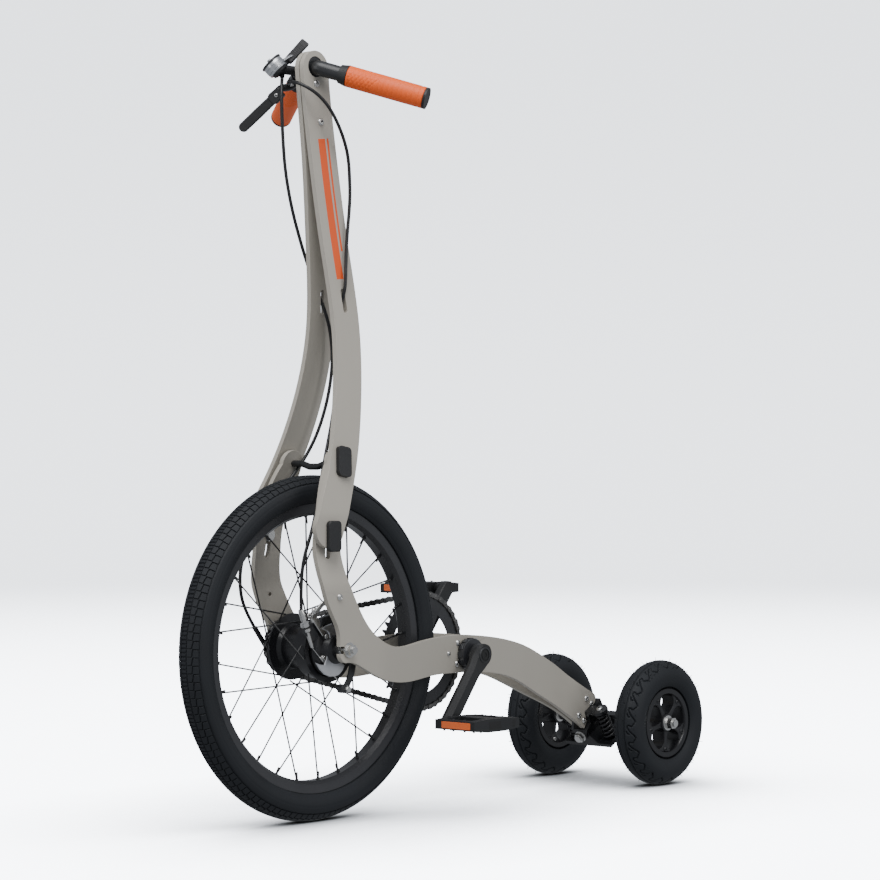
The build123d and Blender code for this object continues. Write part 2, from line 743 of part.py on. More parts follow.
rim_half = front_rim_width / 2
with BuildPart() as front_rim:
    with BuildSketch(wheel_plane(0, front_z)):
        with BuildLine():
            lip_in = bead_half + 0.3
            lip_top = front_bead_radius + rim_lip
            well = front_bead_radius - 0.3
            Polyline((-8, front_rim_opening), (8, front_rim_opening), (rim_half - 1, front_rim_opening + 5),
                     (rim_half, lip_top), (lip_in, lip_top), (lip_in, well), (-lip_in, well), (-lip_in, lip_top),
                     (-rim_half, lip_top), (-rim_half + 1, front_rim_opening + 5), close=True)
        make_face()
    revolve(axis=front_axis)
save(front_rim, "front_rim")

hub_left = 35.0
hub_right = -42.0
hub_end = -46.5
flange_t = 3.5
flange_radius = 48.5
hub_core_radius = 31.0
drum_radius = 43.5
with BuildPart() as front_hub:
    with BuildSketch(wheel_plane(0, front_z)):
        with BuildLine():
            Polyline((hub_end, axle_radius + running_fit), (hub_end, 20), (hub_right, 27),
                     (hub_right, flange_radius), (hub_right + flange_t, flange_radius),
                     (hub_right + flange_t + 1, hub_core_radius + 4), (hub_right + 10, hub_core_radius),
                     (2, hub_core_radius), (6, drum_radius - 2), (8, drum_radius),
                     (hub_left - flange_t, drum_radius), (hub_left - flange_t, flange_radius),
                     (hub_left, flange_radius), (hub_left, drum_radius - 3), (hub_left - 4, drum_radius - 5),
                     (hub_left - 4, axle_radius + running_fit), close=True)
        make_face()
    revolve(axis=front_axis)
save(front_hub, "front_hub")

spoke_count = 28
spoke_radius = 1.0
spoke_circle = 45.0
spoke_lead = math.radians(68)
spoke_offset = 1.6
spoke_phase = math.radians(-2.8)
with BuildPart() as front_spokes:
    for i in range(spoke_count):
        rim_angle = spoke_phase + 2 * math.pi * (i + 0.5) / spoke_count
        turn = spoke_lead if (i // 2) % 2 else -spoke_lead
        flange = hub_left - flange_t / 2 if i % 2 else hub_right + flange_t / 2
        x = flange + math.copysign(spoke_offset, turn)
        hub_point = Vector(spoke_circle, 0).rotate(Axis.Z, math.degrees(rim_angle + turn))
        rim_point = Vector(front_rim_opening, 0).rotate(Axis.Z, math.degrees(rim_angle))
        inner_end = place(hub_point.X, front_z + hub_point.Y, x)
        outer_end = place(rim_point.X, front_z + rim_point.Y)
        run = outer_end - inner_end
        flat = (rim_point - hub_point).normalized()
        inward = hub_point.dot(flat)
        leave = math.sqrt(inward ** 2 + (flange_radius + 1.3) ** 2 - spoke_circle ** 2) - inward
        share = leave / (rim_point - hub_point).length
        start = inner_end + run * share
        with BuildSketch(Plane(origin=start, z_dir=run)):
            RegularPolygon(spoke_radius, 6)
        extrude(amount=run.length * (1 - share) - 0.5)
save(front_spokes, "front_spokes")

nut_radius = 8.4
spacer_radius = 9.0
washer_radius = 11.0
with BuildPart() as front_axle:
    with BuildSketch(wheel_plane(0, front_z)):
        with BuildLine():
            Polyline((-plate_out - 13, 0), (-plate_out - 13, axle_radius), (-plate_out - 2, axle_radius),
                     (-plate_out - 2, washer_radius), (-plate_out, washer_radius), (-plate_out, axle_radius),
                     (-dropout_clear, axle_radius), (-dropout_clear, spacer_radius), (chain_x - ring_t / 2, spacer_radius),
                     (chain_x - ring_t / 2, axle_radius), (dropout_clear - 11, axle_radius),
                     (dropout_clear - 11, spacer_radius), (dropout_clear, spacer_radius), (dropout_clear, axle_radius),
                     (plate_out, axle_radius), (plate_out, washer_radius), (plate_out + 2, washer_radius),
                     (plate_out + 2, axle_radius), (plate_out + 13, axle_radius), (plate_out + 13, 0), close=True)
        make_face()
    revolve(axis=front_axis)
    for x in (-plate_out - 9, plate_out + 2):
        with BuildSketch(side(x)):
            with Locations((0, front_z)):
                RegularPolygon(nut_radius, 6)
        extrude(amount=7)
save(front_axle, "front_axle")

# Drum brake: plate, arm, torque strap and cable stop
plate_face = dropout_clear - 11
with BuildPart() as brake_plate:
    with BuildSketch(wheel_plane(0, front_z)):
        with BuildLine():
            Polyline((hub_left + 0.5, axle_radius), (hub_left + 0.5, 39), (hub_left + 4, 39), (hub_left + 8, 34),
                     (hub_left + 10, 24), (plate_face - 3, 20), (plate_face, 15), (plate_face, axle_radius),
                     close=True)
        make_face()
    revolve(axis=front_axis)
save(brake_plate, "brake_plate")

arm_in = plate_face - 4.0
arm_pin = (24.0, 234.0)
arm_clamp = (3.0, 193.0)
with BuildPart() as brake_arm:
    with BuildSketch(side(arm_in)):
        with BuildLine():
            Polyline((21.5, 243), (31, 240), (28, 222), (21, 203), (12, 187), (-1, 185), (-4, 194), (8, 203),
                     (17, 222), close=True)
        make_face()
        fillet(vertices(), radius=2)
    extrude(amount=3.5)
    with BuildSketch(side(hub_left + 10.2)):
        with Locations(arm_pin):
            Circle(4)
    extrude(amount=arm_in - hub_left - 10.2)
    with BuildSketch(side(arm_in - 6)):
        with Locations(arm_clamp):
            Circle(4)
    extrude(amount=14)
save(brake_arm, "brake_arm")

strap_width = 10.0
strap_t = 2.6
strap_x = hub_left + 12.2
with BuildPart() as torque_strap:
    with BuildLine():
        bend = FilletPolyline(place(-22, 273, strap_x), place(-45, 299, strap_x), place(-37, 316, 58),
                              place(strap_bolt[0], strap_bolt[1], dropout_clear - 4), radius=6)
    with BuildSketch(Plane(origin=bend @ 0, x_dir=(1, 0, 0), z_dir=bend % 0)):
        RectangleRounded(strap_t, strap_width, 0.8)
    sweep()
    with BuildSketch(side(dropout_clear - 8)):
        with Locations(strap_bolt):
            Circle(7)
    extrude(amount=7.8)
    with BuildSketch(side(dropout_clear - 1)):
        with Locations(strap_bolt):
            Circle(bolt_radius)
    extrude(amount=plate_t + 3.5)
save(torque_strap, "torque_strap")

# Truck: a fixed base bolted between the plates' tails, and the axle carrier that turns about the kingpin
tilt = math.radians(kingpin_tilt)
king = place(kingpin_y, kingpin_z)
along = Vector(0, math.cos(tilt), math.sin(tilt))
rise = Vector(0, -math.sin(tilt), math.cos(tilt))


def truck_point(x, u, w):
    return king + Vector(x, 0, 0) + along * u + rise * w


def truck_side(x):
    """Side view plane of the truck: first coordinate along the kingpin, second square to it."""
    return Plane(origin=king + Vector(x, 0, 0), x_dir=along, z_dir=(1, 0, 0))


def truck_front(u):
    """Plane square to the kingpin: first coordinate across, second square to the pin."""
    return Plane(origin=king + along * u, x_dir=(1, 0, 0), z_dir=along * -1)


def truck_top(w):
    return Plane(origin=king + rise * w, x_dir=(1, 0, 0), z_dir=rise)


lug_front = 3.0
lug_t = 6.0
lug_radius = 10.2
carrier_end = 52.0
base_half = 17.0
spine_low = hanger_radius + 1.2
with BuildPart() as truck_base:
    with BuildSketch(truck_side(-base_half)):
        with BuildLine():
            Polyline((lug_front, spine_low), (9, 13.6), (carrier_end + 6.5, 36), (carrier_end + 6.5, spine_low),
                     close=True)
        make_face()
    extrude(amount=2 * base_half)
    for u in (lug_front, carrier_end + 0.5):
        with BuildSketch(truck_front(u)):
            with BuildLine():
                Line((-lug_radius, 0), (-base_half, spine_low + 0.5))
                Line((-base_half, spine_low + 0.5), (base_half, spine_low + 0.5))
                Line((base_half, spine_low + 0.5), (lug_radius, 0))
                RadiusArc((lug_radius, 0), (-lug_radius, 0), lug_radius)
            make_face()
        extrude(amount=-lug_t)
    with BuildSketch(truck_side(-tail_clear)):
        with BuildLine():
            Polyline((8, 14), (-10, 22), (22, 60), (46, 42), (40, 26), close=True)
        make_face()
    extrude(amount=2 * tail_clear)
    for sign in (1, -1):
        with BuildSketch(truck_side(sign * (tail_clear + plate_t + 0.3))):
            with BuildLine():
                Polyline((16, 14), (20, spring_seat + 5), (42, spring_seat + 5), (56, 30), (50, 14), close=True)
            make_face()
        extrude(amount=sign * (base_half - tail_clear - plate_t - 0.3))
        with BuildSketch(truck_top(spring_seat)):
            with Locations((sign * spring_spread, spring_station)):
                Circle(13)
            with Locations((sign * (base_half + spring_spread) / 2, spring_station)):
                Rectangle(spring_spread - base_half + 4, 22)
        extrude(amount=5)
    with BuildSketch(truck_front(lug_front - 2)):
        Circle(kingpin_radius + 0.05)
    extrude(amount=-80, mode=Mode.SUBTRACT)
    with BuildSketch(side(-base_half)):
        with Locations(*tail_bolts):
            Circle(bolt_radius)
    extrude(amount=2 * base_half, mode=Mode.SUBTRACT)
    for sign in (1, -1):
        with BuildSketch(side(sign * (tail_clear + plate_t))):
            with Locations(*tail_bolts):
                Circle(tail_head_radius + 0.3)
        extrude(amount=sign * base_half, mode=Mode.SUBTRACT)
save(truck_base, "truck_base")

with BuildPart() as kingpin:
    with BuildSketch(truck_front(-8)):
        Circle(kingpin_radius)
    extrude(amount=-(carrier_end + 14))
    with BuildSketch(truck_front(-5.5)):
        RegularPolygon(8.5, 6)
    extrude(amount=-6.5)
    with BuildSketch(truck_front(1)):
        Circle(9.5)
    extrude(amount=-1.8)
save(kingpin, "kingpin")

axle_u = (rear_y - front_y - kingpin_y) * math.cos(tilt) + (rear_z - kingpin_z) * math.sin(tilt)
axle_w = -(rear_y - front_y - kingpin_y) * math.sin(tilt) + (rear_z - kingpin_z) * math.cos(tilt)
wing_half = 47.0
with BuildPart() as truck_hanger:
    with BuildSketch(truck_front(lug_front + lug_t + 0.5)):
        with BuildLine():
            Polyline((-wing_half, wing_top), (-22, wing_top), (-hanger_radius, -4), (hanger_radius, -4),
                     (22, wing_top), (wing_half, wing_top), (wing_half, wing_top - wing_t),
                     (-wing_half, wing_top - wing_t), close=True)
        make_face()
        Circle(hanger_radius)
        Circle(kingpin_radius + running_fit, mode=Mode.SUBTRACT)
    extrude(amount=-(carrier_end - lug_front - lug_t - 1))
    with BuildSketch(truck_side(-wing_half)):
        with BuildLine():
            Polyline((carrier_end - 8, wing_top - wing_t), (carrier_end - 8, wing_top), (carrier_end + 5, -14),
                     (axle_u - 3, axle_w + 9), (axle_u + 9, axle_w + 9), (axle_u + 9, axle_w - 9),
                     (carrier_end + 4, wing_top - wing_t), close=True)
        make_face()
    extrude(amount=2 * wing_half)
    with BuildSketch(side(-wing_half - 1)):
        with Locations((rear_y - front_y, rear_z)):
            Circle(kingpin_radius)
    extrude(amount=2 * wing_half + 2, mode=Mode.SUBTRACT)
save(truck_hanger, "truck_hanger")

rear_half_track = rear_track / 2
axle_reach = rear_half_track + rear_hub_width / 2 + 16
with BuildPart() as rear_axle:
    with BuildSketch(side(-axle_reach)):
        with Locations((rear_y - front_y, rear_z)):
            Circle(kingpin_radius)
    extrude(amount=2 * axle_reach)
    for sign in (1, -1):
        with BuildSketch(side(sign * (rear_half_track + rear_hub_width / 2 + 1))):
            with Locations((rear_y - front_y, rear_z)):
                Circle(9.5)
        extrude(amount=sign * 2)
        with BuildSketch(side(sign * (rear_half_track + rear_hub_width / 2 + 3))):
            with Locations((rear_y - front_y, rear_z)):
                RegularPolygon(9.5, 6)
        extrude(amount=sign * 9)
        with BuildSketch(side(sign * wing_half)):
            with Locations((rear_y - front_y, rear_z)):
                Circle(9)
        extrude(amount=sign * (rear_half_track - rear_hub_width / 2 - wing_half - 1))
save(rear_axle, "rear_axle")

# Springs between the base's seats and the carrier's wings
spring_length = spring_seat - wing_top
spring_clear = 0.3
coil_depth = 3.0
coil_sides = 12
for sign, name in ((1, "spring_left"), (-1, "spring_right")):
    with BuildPart() as spring:
        turn_height = (spring_length - 2 * spring_clear) / spring_turns
        for i in range(2 * spring_turns + 1):
            height = wing_top + spring_clear + i * turn_height / 2
            with BuildSketch(Plane(origin=truck_point(sign * spring_spread, spring_station, height),
                                   x_dir=(1, 0, 0), z_dir=rise)):
                RegularPolygon(spring_radius - (0 if i % 2 else coil_depth), coil_sides)
        loft(ruled=True)
    save(spring, name)

# Rear wheels
rear_half_width = rear_tyre_width / 2
hub_bead = 18.0
window_turn = 85.0
window_count = 5
window_radius = 31.0
for sign, name in ((1, "left"), (-1, "right")):
    x = sign * rear_half_track
    rear_axis = wheel_axis(rear_y - front_y, rear_z)
    with BuildPart() as rear_tyre:
        with BuildSketch(wheel_plane(rear_y - front_y, rear_z, x)):
            with BuildLine():
                tyre_profile(rear_radius, rear_tyre_width, rear_rim_radius + 0.1, 3)
            make_face()
        revolve(axis=rear_axis)
    save(rear_tyre, f"rear_tyre_{name}")
    with BuildPart() as rear_hub:
        with BuildSketch(wheel_plane(rear_y - front_y, rear_z, x)):
            with BuildLine():
                Polyline((-hub_bead, rear_rim_radius), (hub_bead, rear_rim_radius), (hub_bead, 50), (10, 46),
                         (10, 20), (hub_bead, 15), (hub_bead, kingpin_radius + running_fit),
                         (-hub_bead, kingpin_radius + running_fit), (-hub_bead, 15), (-10, 20), (-10, 46),
                         (-hub_bead, 50), close=True)
            make_face()
        revolve(axis=rear_axis)
        with BuildSketch(side(x - 30)):
            with Locations((rear_y - front_y, rear_z)):
                with PolarLocations(window_radius, window_count, start_angle=window_turn):
                    Trapezoid(30, 23, 70, rotation=90)
                fillet(vertices(), radius=4)
        extrude(amount=60, mode=Mode.SUBTRACT)
    save(rear_hub, f"rear_hub_{name}")


def cable(points, radius, name):
    """A cable's tube: straight runs joined by the largest arcs that its runs allow."""
    route = [place(y, z, x) for x, y, z in points]
    radii = []
    for before, here, after in zip(route, route[1:], route[2:]):
        turn = math.radians((here - before).get_angle(after - here))
        shorter = min((here - before).length, (after - here).length)
        radii.append(0.45 * shorter / math.tan(turn / 2))
    with BuildPart() as piece:
        with BuildLine():
            line = FilletPolyline(*route, radius=radii)
        with BuildSketch(Plane(origin=line @ 0, z_dir=line % 0)):
            Circle(radius)
        sweep()
    print(name, "radii", [round(r) for r in radii], "volume share",
          round(piece.part.volume / (math.pi * radius ** 2 * line.length), 4))
    save(piece, name)


brake_route = [(-29.5, -14.5, 1069), (-23, -25.5, 1069.5), (-13, -33, 1069), (-1, -37, 1067), (11, -36, 1063.5),
               (22, -30.5, 1057.5), (30.5, -21.5, 1049.5), (35, -10, 1039.5), (37, 2, 1027), (37, 14, 1012.5),
               (34.5, 26, 998), (31, 37, 984), (27.5, 46, 970), (24.5, 52.5, 954), (22.5, 56, 934),
               (22, 57.5, 911), (22, 56, 887), (22.5, 52, 860), (23.5, 48.5, 833), (25.5, 45, 806),
               (28, 42, 786), (27.8, 40.5, 769), (21, 41, 752), (15, 41.4, 735), (14, 40.5, 704),
               (17, 36, 660), (22, 27, 618), (28, 13, 575), (32.5, -3, 534), (37.5, -18, 495), (45, -35, 452),
               (51, -52, 416), (48, -64, 383), (42.5, -64.5, 343), (40, -61, 305)]
shift_route = [(-36, -24, 1080), (-30, -31.5, 1063), (-27, -34, 1040), (-27, -33, 1012), (-29, -29, 980),
               (-31.5, -23, 947), (-32, -16, 915), (-31.5, -6.5, 880), (-31, 6, 846), (-31, 20.5, 812),
               (-30, 32, 788), (-27.8, 38.6, 770), (-21, 40.4, 755), (-15.2, 44.6, 737), (-14, 53, 711),
               (-14, 58, 670), (-17, 53.5, 620), (-24, 40.5, 568), (-34, 26.5, 532), (-38.5, 9.5, 509),
               (-39.5, -10, 489), (-42, -32, 464), (-46.5, -55, 438), (-50, -77, 409), (-52, -91, 375),
               (-52.5, -94, 343), (-57, -82, 309), (-64, -53.5, 279.5)]
cable_radius = 2.5
cable(brake_route, cable_radius, "brake_cable")
cable(shift_route, cable_radius, "shift_cable")

# Shift box between the cog and the right dropout, with the cable's boot in front of it
box_out = dropout_clear - 0.3
box_in = -chain_x + chain_half_width + 1.2
box_t = box_out - box_in
box_radius = 26.0
boot_low = (-21.5, 239.0)
boot_high = (-53.0, 279.0)
with BuildPart() as shift_box:
    with BuildSketch(side(-box_out)):
        with Locations((0, front_z)):
            Circle(box_radius)
        with Locations(boot_low):
            Circle(6)
        make_hull()
        with Locations((0, front_z)):
            Circle(spacer_radius + running_fit, mode=Mode.SUBTRACT)
    extrude(amount=box_t)
    round_bar(box_t / 2 + 1, place(*boot_low, -box_out + box_t / 2), place(*boot_high, -box_out + box_t / 2))
save(shift_box, "shift_box")
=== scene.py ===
import math
import random

import bmesh
import bpy
from mathutils import Matrix, Vector
from mathutils.bvhtree import BVHTree


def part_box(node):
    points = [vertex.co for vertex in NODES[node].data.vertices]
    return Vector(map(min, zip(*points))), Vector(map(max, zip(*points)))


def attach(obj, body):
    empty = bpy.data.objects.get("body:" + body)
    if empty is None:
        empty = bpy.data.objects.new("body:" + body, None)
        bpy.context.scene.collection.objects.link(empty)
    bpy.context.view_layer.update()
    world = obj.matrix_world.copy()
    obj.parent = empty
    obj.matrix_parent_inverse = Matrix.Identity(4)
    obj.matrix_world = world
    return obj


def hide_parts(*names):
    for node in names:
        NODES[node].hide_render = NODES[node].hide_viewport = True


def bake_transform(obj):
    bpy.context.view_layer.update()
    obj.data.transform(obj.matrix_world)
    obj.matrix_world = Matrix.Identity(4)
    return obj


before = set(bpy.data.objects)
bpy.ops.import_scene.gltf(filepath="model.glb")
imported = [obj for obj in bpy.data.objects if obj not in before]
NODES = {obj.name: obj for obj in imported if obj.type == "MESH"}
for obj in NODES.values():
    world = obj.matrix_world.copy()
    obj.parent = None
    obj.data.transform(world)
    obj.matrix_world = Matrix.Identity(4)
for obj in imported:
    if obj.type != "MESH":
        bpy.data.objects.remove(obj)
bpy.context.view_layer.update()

# Metres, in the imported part's frame. Points given in millimetres are measured as in the part's side view:
# across from the middle, along from the front axle, and up from the floor.
MM = 0.001


def middle(node):
    low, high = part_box(node)
    return (low + high) / 2


FRONT_AXLE = middle("front_tyre")
CRANK_AXLE = middle("crank_spindle")
FRONT_RADIUS = (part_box("front_tyre")[1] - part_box("front_tyre")[0]).z / 2


def spot(x, y, z):
    """A point in millimetres from the foot of the front axle, in the row frame."""
    return Vector((x * MM, y * MM + FRONT_AXLE.y, z * MM))


def new_object(name, data):
    """An object in the scene, made from its data."""
    made = bpy.data.objects.new(name, data)
    bpy.context.scene.collection.objects.link(made)
    return made


# Camera: a long lens, turned to the left front of the machine, just above the height of the pedals
PHOTO_SIDE = 880
FOCAL_PIXELS = 2596.7
SENSOR_MM = 36.0
CAMERA_TURN = math.radians(42.258)
CAMERA_PITCH = math.radians(-0.614)
CAMERA_ROLL = math.radians(-0.064)
CAMERA_SPOT = spot(2668.0, -2659.8, 510.1)

camera_data = bpy.data.cameras.new("camera")
camera_data.sensor_width = SENSOR_MM
camera_data.lens = FOCAL_PIXELS / PHOTO_SIDE * SENSOR_MM
camera_data.clip_end = 200
camera = new_object("camera", camera_data)
back = Vector((math.sin(CAMERA_TURN) * math.cos(CAMERA_PITCH),
    -math.cos(CAMERA_TURN) * math.cos(CAMERA_PITCH), math.sin(CAMERA_PITCH)))
facing = back.to_track_quat("Z", "Y").to_matrix().to_4x4()
camera.matrix_world = Matrix.Translation(CAMERA_SPOT) @ facing @ Matrix.Rotation(CAMERA_ROLL, 4, "Z")
bpy.context.scene.camera = camera


# Materials
FINISH = {}


def add_node(tree, kind, inputs):
    """A shader node whose named inputs take a value or the output of another node."""
    made = tree.nodes.new("ShaderNode" + kind)
    for name, value in inputs.items():
        if isinstance(value, bpy.types.NodeSocket):
            tree.links.new(value, made.inputs[name])
        else:
            made.inputs[name].default_value = value
    return made


def material(name, colour, roughness, metallic=0.0, tone=0.08, tone_scale=9.0, rough_swing=0.08,
        grain=900.0, grain_depth=0.15, coat=0.0, specular=0.5, edge=None):
    """Procedural finish: cloudy tone and roughness, fine grain as bump, and paler or darker worn edges."""
    made = bpy.data.materials.new(name)
    made.use_nodes = True
    tree = made.node_tree
    place = add_node(tree, "TexCoord", {}).outputs["Object"]
    cloud = add_node(tree, "TexNoise", {"Scale": tone_scale, "Detail": 6, "Roughness": 0.62,
        "Vector": place}).outputs["Fac"]
    ramp = add_node(tree, "ValToRGB", {"Fac": cloud})
    dark, pale = ramp.color_ramp.elements
    dark.position = 0.3
    pale.position = 0.7
    dark.color = [c * (1 - tone) for c in colour] + [1]
    pale.color = [min(1, c * (1 + tone)) for c in colour] + [1]
    tint = ramp.outputs["Color"]
    if edge:
        shape = add_node(tree, "NewGeometry", {})
        worn = add_node(tree, "ValToRGB", {"Fac": shape.outputs["Pointiness"]})
        worn.color_ramp.elements[0].position = 0.52
        worn.color_ramp.elements[1].position = 0.6
        mix = add_node(tree, "Mix", {})
        mix.data_type = "RGBA"
        tree.links.new(worn.outputs["Color"], mix.inputs["Factor"])
        tree.links.new(tint, mix.inputs["A"])
        mix.inputs["B"].default_value = (*edge, 1)
        tint = mix.outputs["Result"]
    spread = add_node(tree, "MapRange", {"From Min": 0.3, "From Max": 0.7,
        "To Min": max(0.03, roughness - rough_swing), "To Max": min(1.0, roughness + rough_swing),
        "Value": cloud})
    fine = add_node(tree, "TexNoise", {"Scale": grain, "Detail": 3, "Vector": place})
    bump = add_node(tree, "Bump", {"Strength": grain_depth, "Distance": 0.0004,
        "Height": fine.outputs["Fac"]})
    shader = tree.nodes["Principled BSDF"].inputs
    shader["Metallic"].default_value = metallic
    shader["Coat Weight"].default_value = coat
    shader["Coat Roughness"].default_value = 0.2
    shader["Specular IOR Level"].default_value = specular
    tree.links.new(tint, shader["Base Color"])
    tree.links.new(spread.outputs["Result"], shader["Roughness"])
    tree.links.new(bump.outputs["Normal"], shader["Normal"])
    FINISH[name] = made


material("frame_paint", (0.45, 0.42, 0.365), 0.46, tone=0.03, tone_scale=5, grain=1500, grain_depth=0.25,
    specular=0.4)
material("black_metal", (0.010, 0.0105, 0.012), 0.3, tone=0.25, grain=1300, specular=0.55,
    edge=(0.035, 0.036, 0.04))
material("black_plastic", (0.011, 0.0115, 0.013), 0.48, tone=0.2, grain=1800, grain_depth=0.3)
material("orange_rubber", (0.98, 0.13, 0.012), 0.5, tone=0.06, grain=1100, grain_depth=0.5)
material("tyre_black", (0.0125, 0.0145, 0.018), 0.62, tone=0.2, tone_scale=14, grain=1300, grain_depth=0.4,
    specular=0.35)
material("hub_grey", (0.013, 0.013, 0.015), 0.3, tone=0.2, grain=1500, grain_depth=0.1)
material("aluminium", (0.62, 0.63, 0.65), 0.36, metallic=1.0, tone=0.06, grain=1000, grain_depth=0.2)
material("steel", (0.66, 0.655, 0.64), 0.24, metallic=1.0, tone=0.07, grain=900, grain_depth=0.12)
material("spoke_black", (0.015, 0.015, 0.016), 0.3, tone=0.2, grain=1200)
material("chain_steel", (0.16, 0.158, 0.155), 0.34, metallic=0.9, tone=0.25, tone_scale=60, grain=900)
material("spring_steel", (0.02, 0.02, 0.022), 0.28, metallic=0.2, tone=0.2, grain=900)
material("cable_black", (0.011, 0.011, 0.012), 0.36, tone=0.15, grain=1500, grain_depth=0.15)
material("crank_black", (0.014, 0.014, 0.015), 0.4, tone=0.2, grain=1400, grain_depth=0.2)
material("lever_black", (0.02, 0.02, 0.021), 0.38, tone=0.2, grain=1500, grain_depth=0.25)
material("paddle_black", (0.02, 0.02, 0.022), 0.6, tone=0.2, grain=1900, grain_depth=0.6)
# Near-black finish; at the floor of bolt sockets it stands as painted shade.
material("socket_black", (0.006, 0.006, 0.006), 0.5, tone=0.2, grain=1200)
material("reflector", (0.86, 0.15, 0.02), 0.16, tone=0.08, grain=700, grain_depth=0.4, coat=0.6)
material("band_ink", (0.86, 0.10, 0.012), 0.45, tone=0.04, grain=1400, grain_depth=0.15)


NODE_FINISH = {
    "frame_paint": ["chassis_plate_left", "chassis_plate_right", "column_plate_left", "column_plate_right"],
    "steel": ["tail_bolts", "pivot_pins", "column_bolts", "front_axle", "torque_strap", "rear_axle",
        "kingpin", "brake_arm"],
    "black_metal": ["lock_bar", "bottom_bracket", "hub_cog", "truck_base", "crank_spindle", "crank_left",
        "crank_right", "chainring", "truck_hanger", "front_rim", "handlebar", "brake_lever"],
    "black_plastic": ["latch_covers", "bar_collars", "shift_box", "shifter", "pedal_left", "pedal_right"],
    "orange_rubber": ["grip_left", "grip_right"],
    "tyre_black": ["front_tyre", "rear_tyre_left", "rear_tyre_right"],
    "hub_grey": ["front_hub", "brake_plate", "rear_hub_left", "rear_hub_right"],
    "spoke_black": ["front_spokes"],
    "chain_steel": ["chain"],
    "spring_steel": ["spring_left", "spring_right"],
    "cable_black": ["brake_cable", "shift_cable"],
}


def soft_edges():
    """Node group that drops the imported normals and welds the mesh, ready for rounded edges."""
    group = bpy.data.node_groups.new("soft_edges", "GeometryNodeTree")
    group.interface.new_socket("Geometry", in_out="INPUT", socket_type="NodeSocketGeometry")
    group.interface.new_socket("Geometry", in_out="OUTPUT", socket_type="NodeSocketGeometry")
    start = group.nodes.new("NodeGroupInput")
    end = group.nodes.new("NodeGroupOutput")
    drop = group.nodes.new("GeometryNodeRemoveAttribute")
    drop.inputs["Name"].default_value = "custom_normal"
    weld = group.nodes.new("GeometryNodeMergeByDistance")
    weld.inputs["Distance"].default_value = 0.02 * MM
    group.links.new(start.outputs[0], drop.inputs["Geometry"])
    group.links.new(drop.outputs["Geometry"], weld.inputs["Geometry"])
    group.links.new(weld.outputs["Geometry"], end.inputs[0])
    return group


SOFT_EDGES = soft_edges()
SPOKE_SWELL = 0.3 * MM
EDGE_ROUND = 0.7 * MM
SHARP_ANGLE = math.radians(32)
ROUNDED = ["chassis_plate_left", "chassis_plate_right", "column_plate_left", "column_plate_right",
    "crank_left", "crank_right", "truck_base", "truck_hanger", "latch_covers"]

for slot_name, names in NODE_FINISH.items():
    for node_name in names:
        node = NODES[node_name]
        node.data.materials.clear()
        node.data.materials.append(FINISH[slot_name])
        if node_name in ROUNDED:
            weld = node.modifiers.new("weld", "NODES")
            weld.node_group = SOFT_EDGES
            bevel = node.modifiers.new("round", "BEVEL")
            bevel.width = EDGE_ROUND
            bevel.segments = 3
            bevel.limit_method = "ANGLE"
            bevel.angle_limit = SHARP_ANGLE
            bevel.harden_normals = True

# The spokes are drawn a little thicker than the solids, as they look in bright light
spoke_weld = NODES["front_spokes"].modifiers.new("weld", "NODES")
spoke_weld.node_group = SOFT_EDGES
spoke_swell = NODES["front_spokes"].modifiers.new("swell", "DISPLACE")
spoke_swell.strength = SPOKE_SWELL
spoke_swell.mid_level = 0.0


# Small forms: closed shapes gathered into joined meshes, in millimetres from the foot of the front axle
class Shape:
    """Closed forms gathered into one mesh; finish is the number of the material that the next forms take."""

    def __init__(self):
        self.points = []
        self.faces = []
        self.finishes = []
        self.finish = 0

    def add(self, points, faces):
        start = len(self.points)
        self.points.extend(spot(*p) for p in points)
        self.faces.extend([start + i for i in face] for face in faces)
        self.finishes.extend([self.finish] * len(faces))

    def piece(self, name, body, finishes, replaced=(), sharp=32):
        """Make the Blender object, with outward faces, smooth where its edges are gentle."""
        mesh = bpy.data.meshes.new(name)
        mesh.from_pydata(self.points, [], self.faces)
        for finish in finishes:
            mesh.materials.append(FINISH[finish])
        mesh.polygons.foreach_set("material_index", self.finishes)
        work = bmesh.new()
        work.from_mesh(mesh)
        bmesh.ops.recalc_face_normals(work, faces=work.faces)
        work.to_mesh(mesh)
        work.free()
        mesh.polygons.foreach_set("use_smooth", [True] * len(mesh.polygons))
        mesh.set_sharp_from_angle(angle=math.radians(sharp))
        made = new_object(name, mesh)
        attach(made, body)
        if replaced:
            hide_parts(*replaced)
        return made


def basis(along):
    """A unit direction and two more square to it."""
    axis = Vector(along).normalized()
    seed = Vector((0, 0, 1)) if abs(axis.z) < 0.9 else Vector((0, 1, 0))
    right = axis.cross(seed).normalized()
    return axis, right, right.cross(axis)


def corner_reach(radius, angle, corners):
    """Distance from the middle of a regular polygon to its side, at an angle."""
    step = 2 * math.pi / corners
    return radius * math.cos(step / 2) / math.cos(angle % step - step / 2)


def lathe(shape, centre, along, profile, sides=32, closed=False):
    """Turn (distance, radius) or (distance, radius, corners) stations about an axis."""
    axis, right, up = basis(along)
    points = []
    for distance, radius, *corners in profile:
        for i in range(sides):
            angle = 2 * math.pi * i / sides
            reach = corner_reach(radius, angle, corners[0]) if corners else radius
            points.append(Vector(centre) + axis * distance + right * (reach * math.cos(angle))
                + up * (reach * math.sin(angle)))
    rows = len(profile)
    faces = []
    for k in range(rows if closed else rows - 1):
        near = k * sides
        far = (k + 1) % rows * sides
        for i in range(sides):
            j = (i + 1) % sides
            faces.append((near + i, near + j, far + j, far + i))
    if not closed:
        faces.append(tuple(range(sides)))
        faces.append(tuple(range((rows - 1) * sides, rows * sides)))
    shape.add(points, faces)


